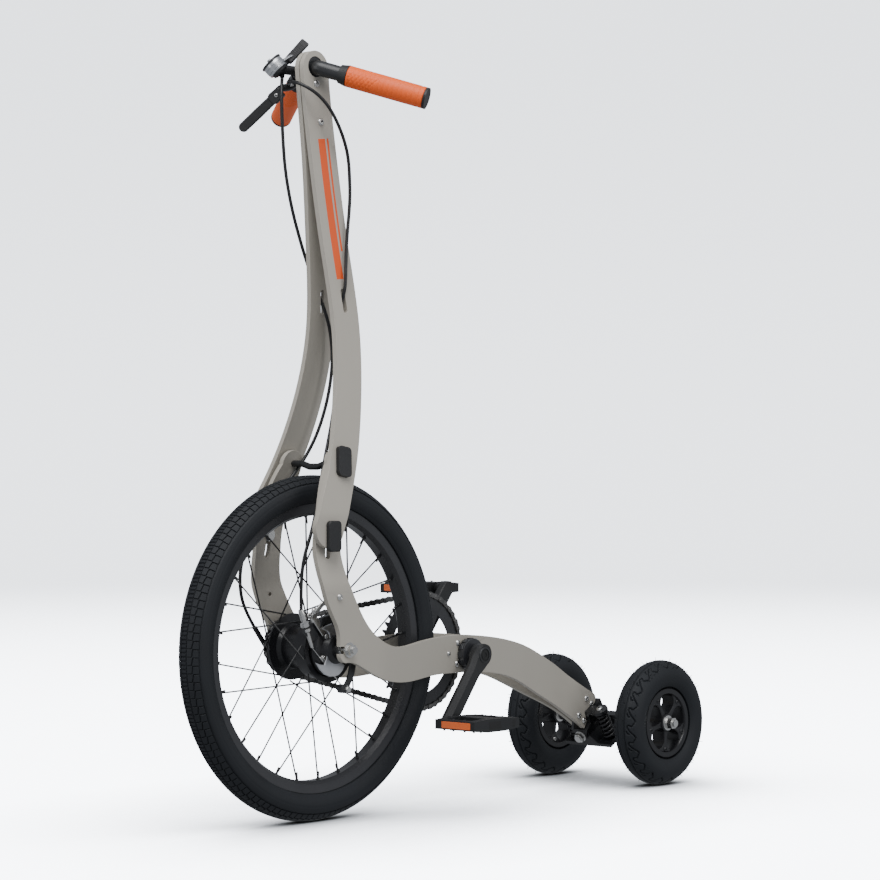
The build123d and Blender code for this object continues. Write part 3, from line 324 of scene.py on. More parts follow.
def loft(shape, sections):
    """Join sections with as many points each, and close the two ends."""
    count = len(sections[0])
    faces = [tuple(range(count)), tuple(range((len(sections) - 1) * count, len(sections) * count))]
    for k in range(len(sections) - 1):
        for i in range(count):
            j = (i + 1) % count
            faces.append((k * count + i, k * count + j, (k + 1) * count + j, (k + 1) * count + i))
    shape.add([p for section in sections for p in section], faces)


def inset(outline, amount):
    """An outline moved inwards, corner by corner."""
    around = list(zip(outline[-1:] + outline[:-1], outline, outline[1:] + outline[:1]))
    side = math.copysign(1, sum(here[0] * after[1] - after[0] * here[1] for before, here, after in around))
    moved = []
    for before, here, after in around:
        arrive = (Vector(here) - Vector(before)).normalized()
        leave = (Vector(after) - Vector(here)).normalized()
        inward = (Vector((-arrive.y, arrive.x)) + Vector((-leave.y, leave.x))).normalized() * side
        share = max(0.4, inward.dot(Vector((-arrive.y, arrive.x)) * side))
        moved.append(tuple(Vector(here) + inward * (amount / share)))
    return moved


def slab(shape, outline, origin, across, up, thick, edge=0.6):
    """A plate with eased edges from an outline in two directions; it is thick along their cross product."""
    origin, across, up = Vector(origin), Vector(across).normalized(), Vector(up).normalized()
    normal = across.cross(up)
    small = inset(outline, edge)
    sections = []
    for level, height in ((small, 0), (outline, edge), (outline, thick - edge), (small, thick)):
        sections.append([origin + across * a + up * b + normal * height for a, b in level])
    loft(shape, sections)


def bent(points, steps=6):
    """A smooth run through a few points."""
    run = [Vector(p) for p in points]
    ends = [run[0] * 2 - run[1], *run, run[-1] * 2 - run[-2]]
    smooth = []
    for a, b, c, d in zip(ends, ends[1:], ends[2:], ends[3:]):
        for i in range(steps):
            t = i / steps
            smooth.append((b * 2 + (c - a) * t + (a * 2 - b * 5 + c * 4 - d) * t ** 2
                + (b * 3 - c * 3 + d - a) * t ** 3) / 2)
    return smooth + [run[-1]]


def rod(shape, points, radius, sides=12):
    """A round rod along a run of points; radius is one number, or one for each point."""
    run = [Vector(p) for p in points]
    radii = radius if isinstance(radius, list) else [radius] * len(run)
    axis, right, up = basis(run[1] - run[0])
    sections = []
    for i, here in enumerate(run):
        axis = (run[min(i + 1, len(run) - 1)] - run[max(i - 1, 0)]).normalized()
        right = (right - axis * right.dot(axis)).normalized()
        up = right.cross(axis)
        sections.append([here + right * (radii[i] * math.cos(2 * math.pi * j / sides))
            + up * (radii[i] * math.sin(2 * math.pi * j / sides)) for j in range(sides)])
    loft(shape, sections)


def button_bolt(shape, place, outward, radius, height, steel=0, dark=1):
    """Round bolt head with a hexagon socket; the socket's floor takes the dark finish as painted shade."""
    socket = 0.5 * radius
    shape.finish = steel
    lathe(shape, place, outward, [(-1.5, radius * 0.6), (-0.3, radius), (0.25 * height, radius),
        (0.6 * height, 0.9 * radius), (0.9 * height, 0.72 * radius), (height, 0.58 * radius),
        (height, socket, 6), (0.3 * height, socket, 6)], 24)
    # The socket's floor: a near-black hexagon, painted shade in the socket.
    shape.finish = dark
    lathe(shape, place, outward, [(0.2 * height, 0.8 * socket, 6), (0.36 * height, 0.8 * socket, 6)], 12)
    shape.finish = steel


def round_outline(points, reach, steps=3):
    """A polygon with its corners rounded."""
    result = []
    count = len(points)
    for i, here in enumerate(points):
        here = Vector(here)
        before = Vector(points[i - 1])
        after = Vector(points[(i + 1) % count])
        cut = min(reach, (before - here).length * 0.45, (after - here).length * 0.45)
        start = here + (before - here).normalized() * cut
        end = here + (after - here).normalized() * cut
        for k in range(steps + 1):
            t = k / steps
            result.append(tuple(start * (1 - t) ** 2 + here * (2 * t * (1 - t)) + end * t ** 2))
    return result


def millimetres(place):
    """A point of the row frame in millimetres from the foot of the front axle."""
    return Vector((place.x, place.y - FRONT_AXLE.y, place.z)) / MM


SURFACES = {}
FAR_SIDE = 300.0
ROUND_HOLE = 4.6


def surface(node_name):
    """A node's faces, ready to be met by a line."""
    if node_name not in SURFACES:
        mesh = NODES[node_name].data
        SURFACES[node_name] = BVHTree.FromPolygons([v.co for v in mesh.vertices],
            [p.vertices for p in mesh.polygons])
    return SURFACES[node_name]


def outer_face(node_name, side, y, z):
    """Where the outermost face of a node lies beside a point, averaged round a hole of a bolt's size."""
    found = []
    for a, b in ((ROUND_HOLE, 0), (-ROUND_HOLE, 0), (0, ROUND_HOLE), (0, -ROUND_HOLE)):
        hit = surface(node_name).ray_cast(spot(side * FAR_SIDE, y + a, z + b), Vector((-side, 0, 0)))
        if hit[0] is not None:
            found.append((millimetres(hit[0]), hit[1]))
    place = sum((p for p, n in found), Vector()) / len(found)
    normal = sum((n for p, n in found), Vector()).normalized()
    return Vector((place.x, y, z)), normal


FRONT_Z = FRONT_RADIUS / MM
CRANK_PLACE = millimetres(CRANK_AXLE)


# Tyres
class Tyre:
    """A tyre's place and the round section of its crown."""

    def __init__(self, node_name):
        low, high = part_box(node_name)
        self.middle = millimetres((low + high) / 2)
        self.radius = (high.z - low.z) / 2 / MM
        self.crown = (high.x - low.x) / 2 / MM

    def place(self, along, turn, height=0.0):
        """Point at a distance from the crown along the section, a turn round the wheel, a height above."""
        lean = along / self.crown
        reach = self.radius - self.crown + (self.crown + height) * math.cos(lean)
        return (self.middle.x + (self.crown + height) * math.sin(lean),
            self.middle.y + reach * math.cos(turn), self.middle.z + reach * math.sin(turn))


def tread_block(shape, tyre, rim, depth, ease):
    """A closed rubber block; rim is six (along, round) points, the middle ones second and fifth."""
    middle_along = sum(p[0] for p in rim) / 6
    middle_round = sum(p[1] for p in rim) / 6
    points = []
    for shrink, height in ((0, -depth - 0.4), (0, -ease), (ease, 0)):
        for along, round_by in rim:
            off = along - middle_along
            step = round_by - middle_round
            if abs(off) > shrink:
                along -= math.copysign(shrink, off)
            points.append(tyre.place(along, (round_by - math.copysign(shrink, step)) / tyre.radius, height))
    faces = [(0, 1, 4, 5), (1, 2, 3, 4), (12, 13, 16, 17), (13, 14, 15, 16)]
    for level in (0, 6):
        for i in range(6):
            j = (i + 1) % 6
            faces.append((level + i, level + j, level + 6 + j, level + 6 + i))
    shape.add(points, faces)


def block_rim(near_low, near_high, far_low, far_high, start, end):
    """Six points round a block whose near and far edges may slant."""
    return [(near_low, start), ((near_low + far_low) / 2, start), (far_low, start), (far_high, end),
        ((near_high + far_high) / 2, end), (near_high, end)]


HAIR_COUNT = 150
HAIR_SPREAD = 27.0
HAIR_LENGTH = 5.6
HAIR_FLOOR = 0.5
HAIR_TURN = 0.93


def hairs(shape, tyre, seed):
    """Short moulding hairs, none near the floor or straight behind."""
    draw = random.Random(seed)
    for i in range(HAIR_COUNT):
        turn = 2 * math.pi * (i + draw.uniform(-0.35, 0.35)) / HAIR_COUNT
        along = draw.uniform(-HAIR_SPREAD, HAIR_SPREAD)
        reach = HAIR_LENGTH * draw.uniform(0.6, 1.0)
        foot = Vector(tyre.place(along, turn, -0.3))
        tip = Vector(tyre.place(along + draw.uniform(-1, 1), turn + draw.uniform(-0.012, 0.012), reach))
        if tip.z > HAIR_FLOOR and math.sin(turn) > -HAIR_TURN and math.cos(turn) < HAIR_TURN:
            rod(shape, [foot, tip], [0.5, 0.28], 5)


TREAD_COUNT = 134
TREAD_DEPTH = 1.9
TREAD_GROOVE = 1.3
TREAD_ROWS = (5.5, 14.5, 24.5)
front_tyre = Tyre("front_tyre")


def front_tyre_piece():
    shape = Shape()
    bead_low, rim_lip = 205.0, 209.3
    section = []
    wall_from = math.radians(57)
    wall_to = math.radians(64)
    for k in range(-46, 47):
        lean = math.radians(3 * k * 0.98)
        share = min(1, max(0, (abs(lean) - wall_from) / (wall_to - wall_from)))
        rib = 0.35 if 84 < abs(math.degrees(lean)) < 88 or 118 < abs(math.degrees(lean)) < 123 else 0
        reach = front_tyre.crown - TREAD_DEPTH * (1 - share) - rib
        radius = front_tyre.radius - front_tyre.crown + reach * math.cos(lean)
        if radius > rim_lip:
            section.append((reach * math.sin(lean), radius))
    bead_half = 10.8
    section += [(bead_half, rim_lip), (bead_half, bead_low), (-bead_half, bead_low), (-bead_half, rim_lip)]
    lathe(shape, front_tyre.middle, (1, 0, 0), section, 180, closed=True)
    pitch = 2 * math.pi * front_tyre.radius / TREAD_COUNT
    gap = TREAD_GROOVE / 2
    first, second, third = TREAD_ROWS
    for i in range(TREAD_COUNT):
        start = i * pitch
        for half_step in (0, 0.5):
            low = start + half_step * pitch + 0.9
            tread_block(shape, front_tyre, block_rim(-first + gap, -first + gap, first - gap, first - gap,
                low, low + pitch / 2 - 1.8), TREAD_DEPTH, 0.85)
        for side in (1, -1):
            shift = 0.0 if side > 0 else pitch / 2
            slant = 1.1 if i % 2 else 0.7
            low = start + shift + gap
            high = low + pitch - TREAD_GROOVE
            tread_block(shape, front_tyre, block_rim(side * (first + gap), side * (first + gap),
                side * (second + slant - gap), side * (second - slant - gap), low, high), TREAD_DEPTH, 0.35)
            drop = 1.2
            tread_block(shape, front_tyre, block_rim(side * (second + slant + gap),
                side * (second - slant + gap), side * (third - slant), side * (third + slant - 1.5),
                low + drop, high + drop), TREAD_DEPTH, 0.35)
    shape.piece("front_tyre_tread", "front_wheel", ["tyre_black"], ["front_tyre"], 40)


front_tyre_piece()

# Rear tyres: a wavy groove that repeats round each shoulder, two ring grooves and short dashes
WAVE_COUNT = 22
WAVE_STEPS = 28
WAVE_START = 12.0
WAVE = [(0, 0), (2.5, 0.3), (6, 2.5), (11, 6.5), (16, 11), (20, 13), (22.5, 11.5), (25.5, 9), (28, 7.2),
    (27.5, 4.5), (26, 2.5), (26.2, 0.8), (28.56, 0)]
DASHES = [((12.0, 1.0), (12.3, 2.6)), ((8.0, -1.5), (11.5, -0.4))]
RING_GROOVE = 6.5
GROOVE_DEPTH = 2.2
GROOVE_HALF = 0.95
SHOULDER_ROWS = 30


def run_distance(point, run):
    """Shortest distance from a point to a run of straight lines."""
    best = 99.0
    for a, b in zip(run, run[1:]):
        a, b = Vector(a), Vector(b)
        share = min(1, max(0, (point - a).dot(b - a) / (b - a).length_squared))
        best = min(best, (point - a - (b - a) * share).length)
    return best


def groove(along, round_by, length):
    """Depth of the rear tyre's grooves."""
    near = abs(abs(along) - RING_GROOVE)
    out = abs(along) - WAVE_START
    if -4 < out < 16:
        if along < 0:
            round_by = length - (round_by + length / 2) % length
        for shift in (-length, 0, length):
            point = Vector((round_by + shift, out))
            near = min(near, run_distance(point, WAVE), *(run_distance(point, dash) for dash in DASHES))
    share = min(1, max(0, (near - GROOVE_HALF * 0.5) / GROOVE_HALF))
    return GROOVE_DEPTH * (1 - share * share * (3 - 2 * share))


def rear_tyre_piece(side):
    tyre = Tyre(f"rear_tyre_{side}")
    shape = Shape()
    length = 2 * math.pi * tyre.radius / WAVE_COUNT
    columns = WAVE_COUNT * WAVE_STEPS
    shoulder_end = 29.0
    stations = [shoulder_end * k / SHOULDER_ROWS for k in range(-SHOULDER_ROWS, SHOULDER_ROWS + 1)]
    wall = [31.5, 35, 39, 43, 47, 51, 54.5, 57.5]
    stations = [-w for w in reversed(wall)] + stations + wall
    rows = []
    for along in stations:
        depths = [groove(along, length * j / WAVE_STEPS, length) for j in range(WAVE_STEPS)]
        swell = 0.35 if 40 < abs(along) < 45 else 0
        rows.append([tyre.place(along, 2 * math.pi * i / columns, -depths[i % WAVE_STEPS] - swell)
            for i in range(columns)])
    for x, radius in ((11, 58.7), (11, 55.8), (-11, 55.8), (-11, 58.7)):
        rows.append([(tyre.middle.x + x, tyre.middle.y + radius * math.cos(2 * math.pi * i / columns),
            tyre.middle.z + radius * math.sin(2 * math.pi * i / columns)) for i in range(columns)])
    faces = []
    for k in range(len(rows)):
        near = k * columns
        far = (k + 1) % len(rows) * columns
        for i in range(columns):
            j = (i + 1) % columns
            faces.append((near + i, near + j, far + j, far + i))
    shape.add([p for row in rows for p in row], faces)
    hairs(shape, tyre, 5 if side == "left" else 9)
    shape.piece(f"rear_tyre_tread_{side}", f"{side}_rear_wheel", ["tyre_black"],
        [f"rear_tyre_{side}"], 50)


for side in ("left", "right"):
    rear_tyre_piece(side)


# Wheel fittings
def spoke_outline():
    """Half widths of a rear wheel's spoke, wide at its bolt."""
    half = [(12, 5.5), (17, 4.2), (24, 3.4), (31, 3.4), (36, 5.0), (39.5, 8.5), (42, 13.5), (46, 17)]
    return [(reach, -width) for reach, width in half] + [(reach, width) for reach, width in reversed(half)]


def rear_hub_piece(side):
    """Black wheel with a broad lip, five narrow spokes, a boss and bolts, dark outside and bright inside."""
    sign = 1 if side == "left" else -1
    hub = millimetres(middle(f"rear_hub_{side}"))
    shape = Shape()
    lathe(shape, hub, (1, 0, 0), [(-18, 54.6), (-17.2, 55.4), (17.2, 55.4), (18, 54.6), (18, 47.4),
        (17.2, 46.6), (12, 45.6), (10, 45.4), (-10, 45.4), (-12, 45.6), (-17.2, 46.6), (-18, 47.4)], 120,
        closed=True)
    lathe(shape, hub, (1, 0, 0), [(-18, 6.6), (-18, 13.2), (-17, 14.2), (-8, 15.4), (8, 15.4), (17, 14.2),
        (18, 13.2), (18, 6.6)], 48, closed=True)
    for k in range(5):
        angle = math.radians(85 + 36 + 72 * k)
        along = Vector((0, math.cos(angle), math.sin(angle)))
        across = Vector((1, 0, 0)).cross(along)
        shape.finish = 0
        slab(shape, spoke_outline(), hub - Vector((9.5 if sign > 0 else 15.5, 0, 0)), along, across, 25, 1.0)
        for outward in (1, -1):
            bright = outward != sign
            place = hub + along * 42 + Vector((outward * (9.5 if bright else 15.5), 0, 0))
            button_bolt(shape, place, (outward, 0, 0), 3.7, 1.6, 1 if bright else 2, 3)
    shape.finish = 1
    for outward in (1, -1):
        lathe(shape, hub + Vector((outward * 17.8, 0, 0)), (outward, 0, 0),
            [(0, 12.2), (0.9, 12.0), (1.1, 11.4), (1.1, 6.8), (0, 6.6)], 36, closed=True)
    shape.piece(f"rear_wheel_{side}", f"{side}_rear_wheel",
        ["hub_grey", "steel", "black_metal", "socket_black"], [f"rear_hub_{side}"], 35)


for side in ("left", "right"):
    rear_hub_piece(side)


# Chain: rollers, pins and plates round the ring and the cog
CHAIN_X = -56.0
PITCH = 12.7
RING_TEETH = 44
COG_TEETH = 18
CHAIN_LINKS = 78


def chain_pins():
    """Middles of the chain's pins."""
    ring = PITCH / (2 * math.sin(math.pi / RING_TEETH))
    cog = PITCH / (2 * math.sin(math.pi / COG_TEETH))
    front = Vector((CHAIN_X, 0, FRONT_Z))
    rear = Vector((CHAIN_X, CRANK_PLACE.y, CRANK_PLACE.z))
    line = (rear - front).normalized()
    up = Vector((1, 0, 0)).cross(line)
    lift = math.asin((ring - cog) / (rear - front).length)
    straight = (rear - front).length * math.cos(lift)
    top = math.pi / 2 + lift

    def round_wheel(centre, radius, angle):
        return centre + (line * math.cos(angle) + up * math.sin(angle)) * radius

    upper = (round_wheel(front, cog, top), round_wheel(rear, ring, top))
    lower = (round_wheel(rear, ring, -top), round_wheel(front, cog, -top))
    lengths = (straight, 2 * top * ring, straight, (2 * math.pi - 2 * top) * cog)
    step = sum(lengths) / CHAIN_LINKS
    pins = []
    for i in range(CHAIN_LINKS):
        run = i * step
        if run < lengths[0]:
            pins.append(upper[0].lerp(upper[1], run / straight))
            continue
        run -= lengths[0]
        if run < lengths[1]:
            pins.append(round_wheel(rear, ring, top - run / ring))
            continue
        run -= lengths[1]
        if run < lengths[2]:
            pins.append(lower[0].lerp(lower[1], run / straight))
            continue
        pins.append(round_wheel(front, cog, -top - (run - lengths[2]) / cog))
    return pins


def link_outline(length):
    """Waisted plate round two pins."""
    right = [(length + 4.3 * math.cos(math.radians(a)), 4.3 * math.sin(math.radians(a)))
        for a in range(-105, 106, 30)]
    left = [(-x + length, y) for x, y in right]
    return [*right, (length / 2, 3.0), *reversed(left), (length / 2, -3.0)]


def chain_piece():
    shape = Shape()
    pins = chain_pins()
    for i, here in enumerate(pins):
        after = pins[(i + 1) % CHAIN_LINKS]
        shape.finish = 0
        lathe(shape, here, (1, 0, 0), [(-2.2, 3.4), (-1.9, 3.8), (1.9, 3.8), (2.2, 3.4)], 14)
        lathe(shape, here, (1, 0, 0), [(-4.1, 1.5), (-3.9, 1.9), (3.9, 1.9), (4.1, 1.5)], 10)
        along = after - here
        up = Vector((1, 0, 0)).cross(along)
        low, high = (2.95, 3.85) if i % 2 else (1.95, 2.85)
        for start in (low, -high):
            slab(shape, link_outline(along.length), here + Vector((start, 0, 0)), along, up, high - low, 0.2)
    shape.piece("chain_links", "chassis", ["chain_steel"], ["chain"], 35)


chain_piece()


def nipples():
    """Spoke nipples in the front rim."""
    shape = Shape()
    opening = 191.5
    count = 28
    for i in range(count):
        angle = math.radians(-2.8) + 2 * math.pi * (i + 0.5) / count
        lean = Vector((9 if i % 2 else -10, 0, 0))
        outward = Vector((0, math.cos(angle), math.sin(angle)))
        foot = Vector((0, 0, FRONT_Z)) + outward * opening
        lathe(shape, foot, -outward * 60 + lean, [(-1.5, 2.6), (1.2, 2.6), (2.0, 1.9), (11, 1.6),
            (11.6, 1.2)], 10)
    shape.piece("spoke_nipples", "front_wheel", ["spoke_black"])


nipples()


# Fasteners of the plates
CRANK_PLATE_BOLTS = ((143, 30), (206, 30), (37, 30), (-26, 30), (176, 50))


def plate_bolts():
    shape = Shape()
    for angle, reach in CRANK_PLATE_BOLTS:
        y = CRANK_PLACE.y + reach * math.cos(math.radians(angle))
        z = CRANK_PLACE.z + reach * math.sin(math.radians(angle))
        for side, name in ((1, "left"), (-1, "right")):
            place, normal = outer_face(f"chassis_plate_{name}", side, y, z)
            button_bolt(shape, place, normal, 5.0 if reach < 40 else 3.8, 2.8)
    for side, name in ((1, "left"), (-1, "right")):
        place, normal = outer_face(f"chassis_plate_{name}", side, -19, 326)
        button_bolt(shape, place, normal, 5.3, 3.4)
    shape.piece("plate_bolts", "chassis", ["steel", "black_metal"], sharp=30)


def bolt_row(node_name, plate, body, heads, radius):
    """Through bolts that replace a node of plain ones: a head on the left, a nut on the right."""
    shape = Shape()
    for y, z in heads:
        left, normal = outer_face(f"{plate}_left", 1, y, z)
        right, other = outer_face(f"{plate}_right", -1, y, z)
        rod(shape, [left, right], 2.9, 16)
        button_bolt(shape, left, normal, radius, 3.0)
        lathe(shape, right, other, [(-0.5, radius), (0.5, radius), (0.5, radius * 0.92, 6),
            (2.6, radius * 0.92, 6), (3.0, radius * 0.7)], 24)
    shape.piece(f"{node_name}_heads", body, ["steel", "black_metal"], [node_name], 30)


plate_bolts()
TAIL_BOLTS = ((598.0, 110.0), (611.0, 101.0), (617.0, 136.0), (630.0, 127.0))
bolt_row("tail_bolts", "chassis_plate", "chassis", TAIL_BOLTS, 5.0)
bolt_row("column_bolts", "column_plate", "column", ((1.0, 1067.0), (9.5, 1012.0)), 5.4)


# Cranks and pedals
CRANK_ANGLE = math.radians(47)
CRANK_LENGTH = 127.0
CRANK_BOSS = 17.0
CRANK_TIP = 12.0
CRANK_NECK = 15.9
CRANK_INNER = 60.0
CRANK_OUTER = 76.0
CRANK_LEAN = 11.0
FACET = 7.5
CRANK_STATIONS = (-16.9, -16.2, -14, -10.5, -5.5, 0, 6, 12, 18, 25, 34, 50, 75, 100, 122, 128, 133, 137, 139)


def crank_half(s):
    """Half the arm's width at a distance from the axle."""
    if s < 6:
        return math.sqrt(CRANK_BOSS ** 2 - s ** 2)
    if s < 34:
        share = (s - 6) / 28
        return CRANK_NECK - (CRANK_NECK - CRANK_TIP) * share * share * (3 - 2 * share)
    if s < CRANK_LENGTH:
        return CRANK_TIP
    return math.sqrt(max(0.3, CRANK_TIP ** 2 - (s - CRANK_LENGTH) ** 2))


def crank_piece(side):
    """Forged arm with a broad flat along its leading edge, leaning out to the pedal pin."""
    sign = 1 if side == "left" else -1
    arm = Vector((0, -math.cos(CRANK_ANGLE), -math.sin(CRANK_ANGLE))) * sign
    lead = Vector((0, -math.sin(CRANK_ANGLE), math.cos(CRANK_ANGLE))) * sign
    outward = Vector((sign, 0, 0))
    centre = Vector((0, CRANK_PLACE.y, CRANK_PLACE.z))
    shape = Shape()
    sections = []
    for s in CRANK_STATIONS:
        half = crank_half(s)
        face = CRANK_OUTER + CRANK_LEAN * min(1, max(0, (s - CRANK_BOSS) / 102))
        back = CRANK_INNER
        if s >= CRANK_BOSS:
            back += 4 + CRANK_LEAN * min(1, (s - CRANK_BOSS) / 110)
        facet = min(FACET * min(1, max(0.15, (s + CRANK_BOSS) / 26)), half * 0.85)
        round_by = min(1.3, half * 0.4)
        outline = [(-half, back + round_by), (-half, face - round_by), (-half + round_by, face),
            (half - facet, face), (half, face - facet * 0.8), (half, back + round_by),
            (half - round_by, back), (-half + round_by, back)]
        sections.append([centre + arm * s + lead * a + outward * b for a, b in outline])
    loft(shape, sections)
    lathe(shape, centre + arm * CRANK_LENGTH + outward * 85, outward, [(0, 5), (86, 5), (87, 4.2)], 24)
    shape.finish = 1
    lathe(shape, centre + outward * CRANK_OUTER, outward, [(-0.5, 12), (0.8, 11.6), (1.2, 10.9), (1.2, 9.6),
        (-0.8, 9.2)], 36)
    shape.finish = 2
    lathe(shape, centre + outward * CRANK_OUTER, outward, [(-0.5, 9.4), (0.25, 9.2), (0.25, 6.8),
        (0.9, 6.6), (0.9, 4.4, 6), (0.1, 4.3, 6)], 36)
    shape.piece(f"crank_arm_{side}", "crankset",
        ["crank_black", "black_metal", "socket_black"], [f"crank_{side}"], 30)


for side in ("left", "right"):
    crank_piece(side)


def cup_ring():
    """Notched cups of the bottom bracket."""
    shape = Shape()
    notches = 12
    for x0, x1 in ((42.5, 50.5), (-42.5, -49.5)):
        outline = []
        for k in range(notches):
            for share, radius in ((-0.30, 25.0), (0.30, 25.0), (0.36, 22.8), (0.64, 22.8)):
                angle = 2 * math.pi * (k + share) / notches
                outline.append((radius * math.cos(angle), radius * math.sin(angle)))
        start = min(x0, x1)
        slab(shape, outline, (start, CRANK_PLACE.y, CRANK_PLACE.z), (0, 1, 0), (0, 0, 1), abs(x1 - x0), 0.7)
    shape.piece("bracket_cups", "chassis", ["black_metal"])


cup_ring()


def pedal_trim(side):
    """Reflectors in the pedal's ends, a panel in its outer face and grip studs on its rails."""
    sign = 1 if side == "left" else -1
    low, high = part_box(f"pedal_{side}")
    low, high = millimetres(low), millimetres(high)
    middle_place = (low + high) / 2
    outer = high.x if sign > 0 else low.x
    centre_x = outer - sign * 36
    shape = Shape()
    bar = round_outline([(-28, -5), (28, -5), (28, 5), (-28, 5)], 1.5)
    for y, direction in ((low.y, -1), (high.y, 1)):
        shape.finish = 1
        slab(shape, bar, (centre_x, y - direction * 0.6, middle_place.z + 0.5), (direction * -1, 0, 0),
            (0, 0, 1), 1.3, 0.3)
    for side_z in (low.z + 0.3, high.z - 0.3):
        outward = 1 if side_z > middle_place.z else -1
        for y in (-42, -27, 27, 42):
            for x in (8, 26, 48, 66):
                shape.finish = 2
                if abs(y) > 40 or x in (8, 66):
                    slant = 1.9 * (abs(y) - 20) / 30
                    lathe(shape, (outer - sign * x, middle_place.y + y, side_z - outward * slant),
                        (0, 0, outward), [(-1, 1.7), (1.0, 1.6), (1.3, 1.2)], 10)
    shape.finish = 3
    panel = round_outline([(-13, -5.5), (13, -5.5), (13, 5.5), (-13, 5.5)], 1.2)
    slab(shape, panel, (outer - sign * 0.4, middle_place.y - 4 * sign, middle_place.z), (0, sign, 0),
        (0, 0, 1), 0.6, 0.15)
    cap = round_outline([(-3, -5), (3, -5), (3, 5), (-3, 5)], 1.0)
    slab(shape, cap, (outer - sign * 0.4, middle_place.y + 38, middle_place.z), (0, sign, 0), (0, 0, 1),
        0.6, 0.15)
    shape.piece(f"pedal_trim_{side}", f"{side}_pedal",
        ["black_plastic", "reflector", "black_metal", "socket_black"])


for side in ("left", "right"):
    pedal_trim(side)


# Springs of the truck: dark coils on its tilted pin
TRUCK_TILT = math.radians(32)
TRUCK_RISE = Vector((0, -math.sin(TRUCK_TILT), math.cos(TRUCK_TILT)))
ABOVE_SPRING = 80.0
COIL_LENGTH = 46.0
COIL_RADIUS = 8.8
COIL_WIRE = 2.1
COIL_TURNS = 6.4
COIL_STEPS = 26
COIL_FLAT = 0.07


def coil(side):
    sign = 1 if side == "left" else -1
    low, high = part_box(f"spring_{side}")
    centre = millimetres((low + high) / 2)
    right = Vector((1, 0, 0))
    forward = TRUCK_RISE.cross(right)
    points = []
    for k in range(int(COIL_TURNS * COIL_STEPS) + 1):
        share = k / (COIL_TURNS * COIL_STEPS)
        climb = COIL_WIRE + (COIL_LENGTH - 2 * COIL_WIRE) * min(1,
            max(0, (share - COIL_FLAT) / (1 - 2 * COIL_FLAT)))
        angle = 2 * math.pi * k / COIL_STEPS * sign
        reach = (right * math.cos(angle) + forward * math.sin(angle)) * COIL_RADIUS
        points.append(centre + TRUCK_RISE * (climb - COIL_LENGTH / 2) + reach)
    shape = Shape()
    rod(shape, points, COIL_WIRE, 10)
    shape.finish = 1
    core = TRUCK_RISE * (COIL_LENGTH / 2 - 0.5)
    rod(shape, [centre - core, centre + core], 5.5, 20)
    shape.piece(f"spring_coil_{side}", "truck", ["spring_steel", "socket_black"],
        [f"spring_{side}"], 60)


for side in ("left", "right"):
    coil(side)


def spring_seat_bolts():
    """Bright socket bolts on the truck's block, above its springs."""
    shape = Shape()
    for side in ("left", "right"):
        low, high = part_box(f"spring_{side}")
        hit = surface("truck_base").ray_cast((low + high) / 2 + TRUCK_RISE * (ABOVE_SPRING * MM), -TRUCK_RISE)
        if hit[0] is not None:
            button_bolt(shape, millimetres(hit[0]), hit[1], 5.6, 3.4)
    shape.piece("spring_seat_bolts", "chassis", ["steel", "socket_black"], sharp=30)


spring_seat_bolts()


# Grips: rubber with crossing grooves
SWEEP = math.radians(32)
DROOP = math.radians(17)
BAR_Z = 1089.5
BAR_STRAIGHT = 14.0
GRIP_START = 46.0
GRIP_LENGTH = 118.0
GRIP_RADIUS = 15.8


def arm_of(sign):
    return Vector((sign * math.cos(SWEEP) * math.cos(DROOP), math.sin(SWEEP) * math.cos(DROOP),
        -math.sin(DROOP)))


def on_bar(sign, distance):
    return Vector((sign * BAR_STRAIGHT, 0, BAR_Z)) + arm_of(sign) * distance


def grip_piece(side):
    sign = 1 if side == "left" else -1
    axis, right, up = basis(arm_of(sign))
    shape = Shape()
    columns = 120
    rows = 150
    sections = []
    for station, radius in [(0.2, 11.2), (0.0, 14.6)]:
        sections.append([(station, radius)] * columns)
    for k in range(rows + 1):
        station = 1.2 + (GRIP_LENGTH - 2.4) * k / rows
        ring = []
        for i in range(columns):
            round_by = i / columns
            hatch_end = 44 + 7 * math.sin(4 * math.pi * round_by)
            cut = 0.0
            if 4 < station < hatch_end:
                cross = max(math.cos(2 * math.pi * (station / 6.3 + 10 * round_by)),
                    math.cos(2 * math.pi * (station / 6.3 - 10 * round_by)))
                cut = 0.6 * max(0, cross - 0.55) / 0.45
            elif hatch_end + 1 < station < GRIP_LENGTH - 9:
                cut = 0.4 * max(0, math.cos(2 * math.pi * station / 7.3) - 0.6) / 0.4
                if math.cos(4 * math.pi * round_by) < 0.1:
                    cut = 0.0
            elif abs(station - hatch_end) < 1 or abs(station - GRIP_LENGTH + 7) < 1:
                cut = 0.5
            ring.append((station, GRIP_RADIUS - 0.05 - cut))
        sections.append(ring)
    for station, radius in ((GRIP_LENGTH, 14.6), (GRIP_LENGTH - 0.2, 11.2)):
        sections.append([(station, radius)] * columns)
    turns = [2 * math.pi * i / columns for i in range(columns)]
    spokes = [right * math.cos(turn) + up * math.sin(turn) for turn in turns]
    loft(shape, [[on_bar(sign, GRIP_START + station) + spoke * radius
        for spoke, (station, radius) in zip(spokes, ring)] for ring in sections])
    shape.piece(f"grip_rubber_{side}", "column", ["orange_rubber"], [f"grip_{side}"], 60)


for side in ("left", "right"):
    grip_piece(side)


# Brake lever and thumb shifter
LEVER_PIVOT = Vector((-41, -29.5, 1052))
LEVER_TIP = Vector((-92, -50, 1006.5))
VIEW_SIDE = Vector((0.67, -0.74, 0))


def blade_outline(length, start_half, end_half):
    tip = [(length - end_half + end_half * math.cos(math.radians(a)), end_half * math.sin(math.radians(a)))
        for a in range(-80, 81, 20)]
    return [(-6, -start_half), (length * 0.5, -end_half * 1.02), *tip, (length * 0.5, end_half * 1.02),
        (-6, start_half)]


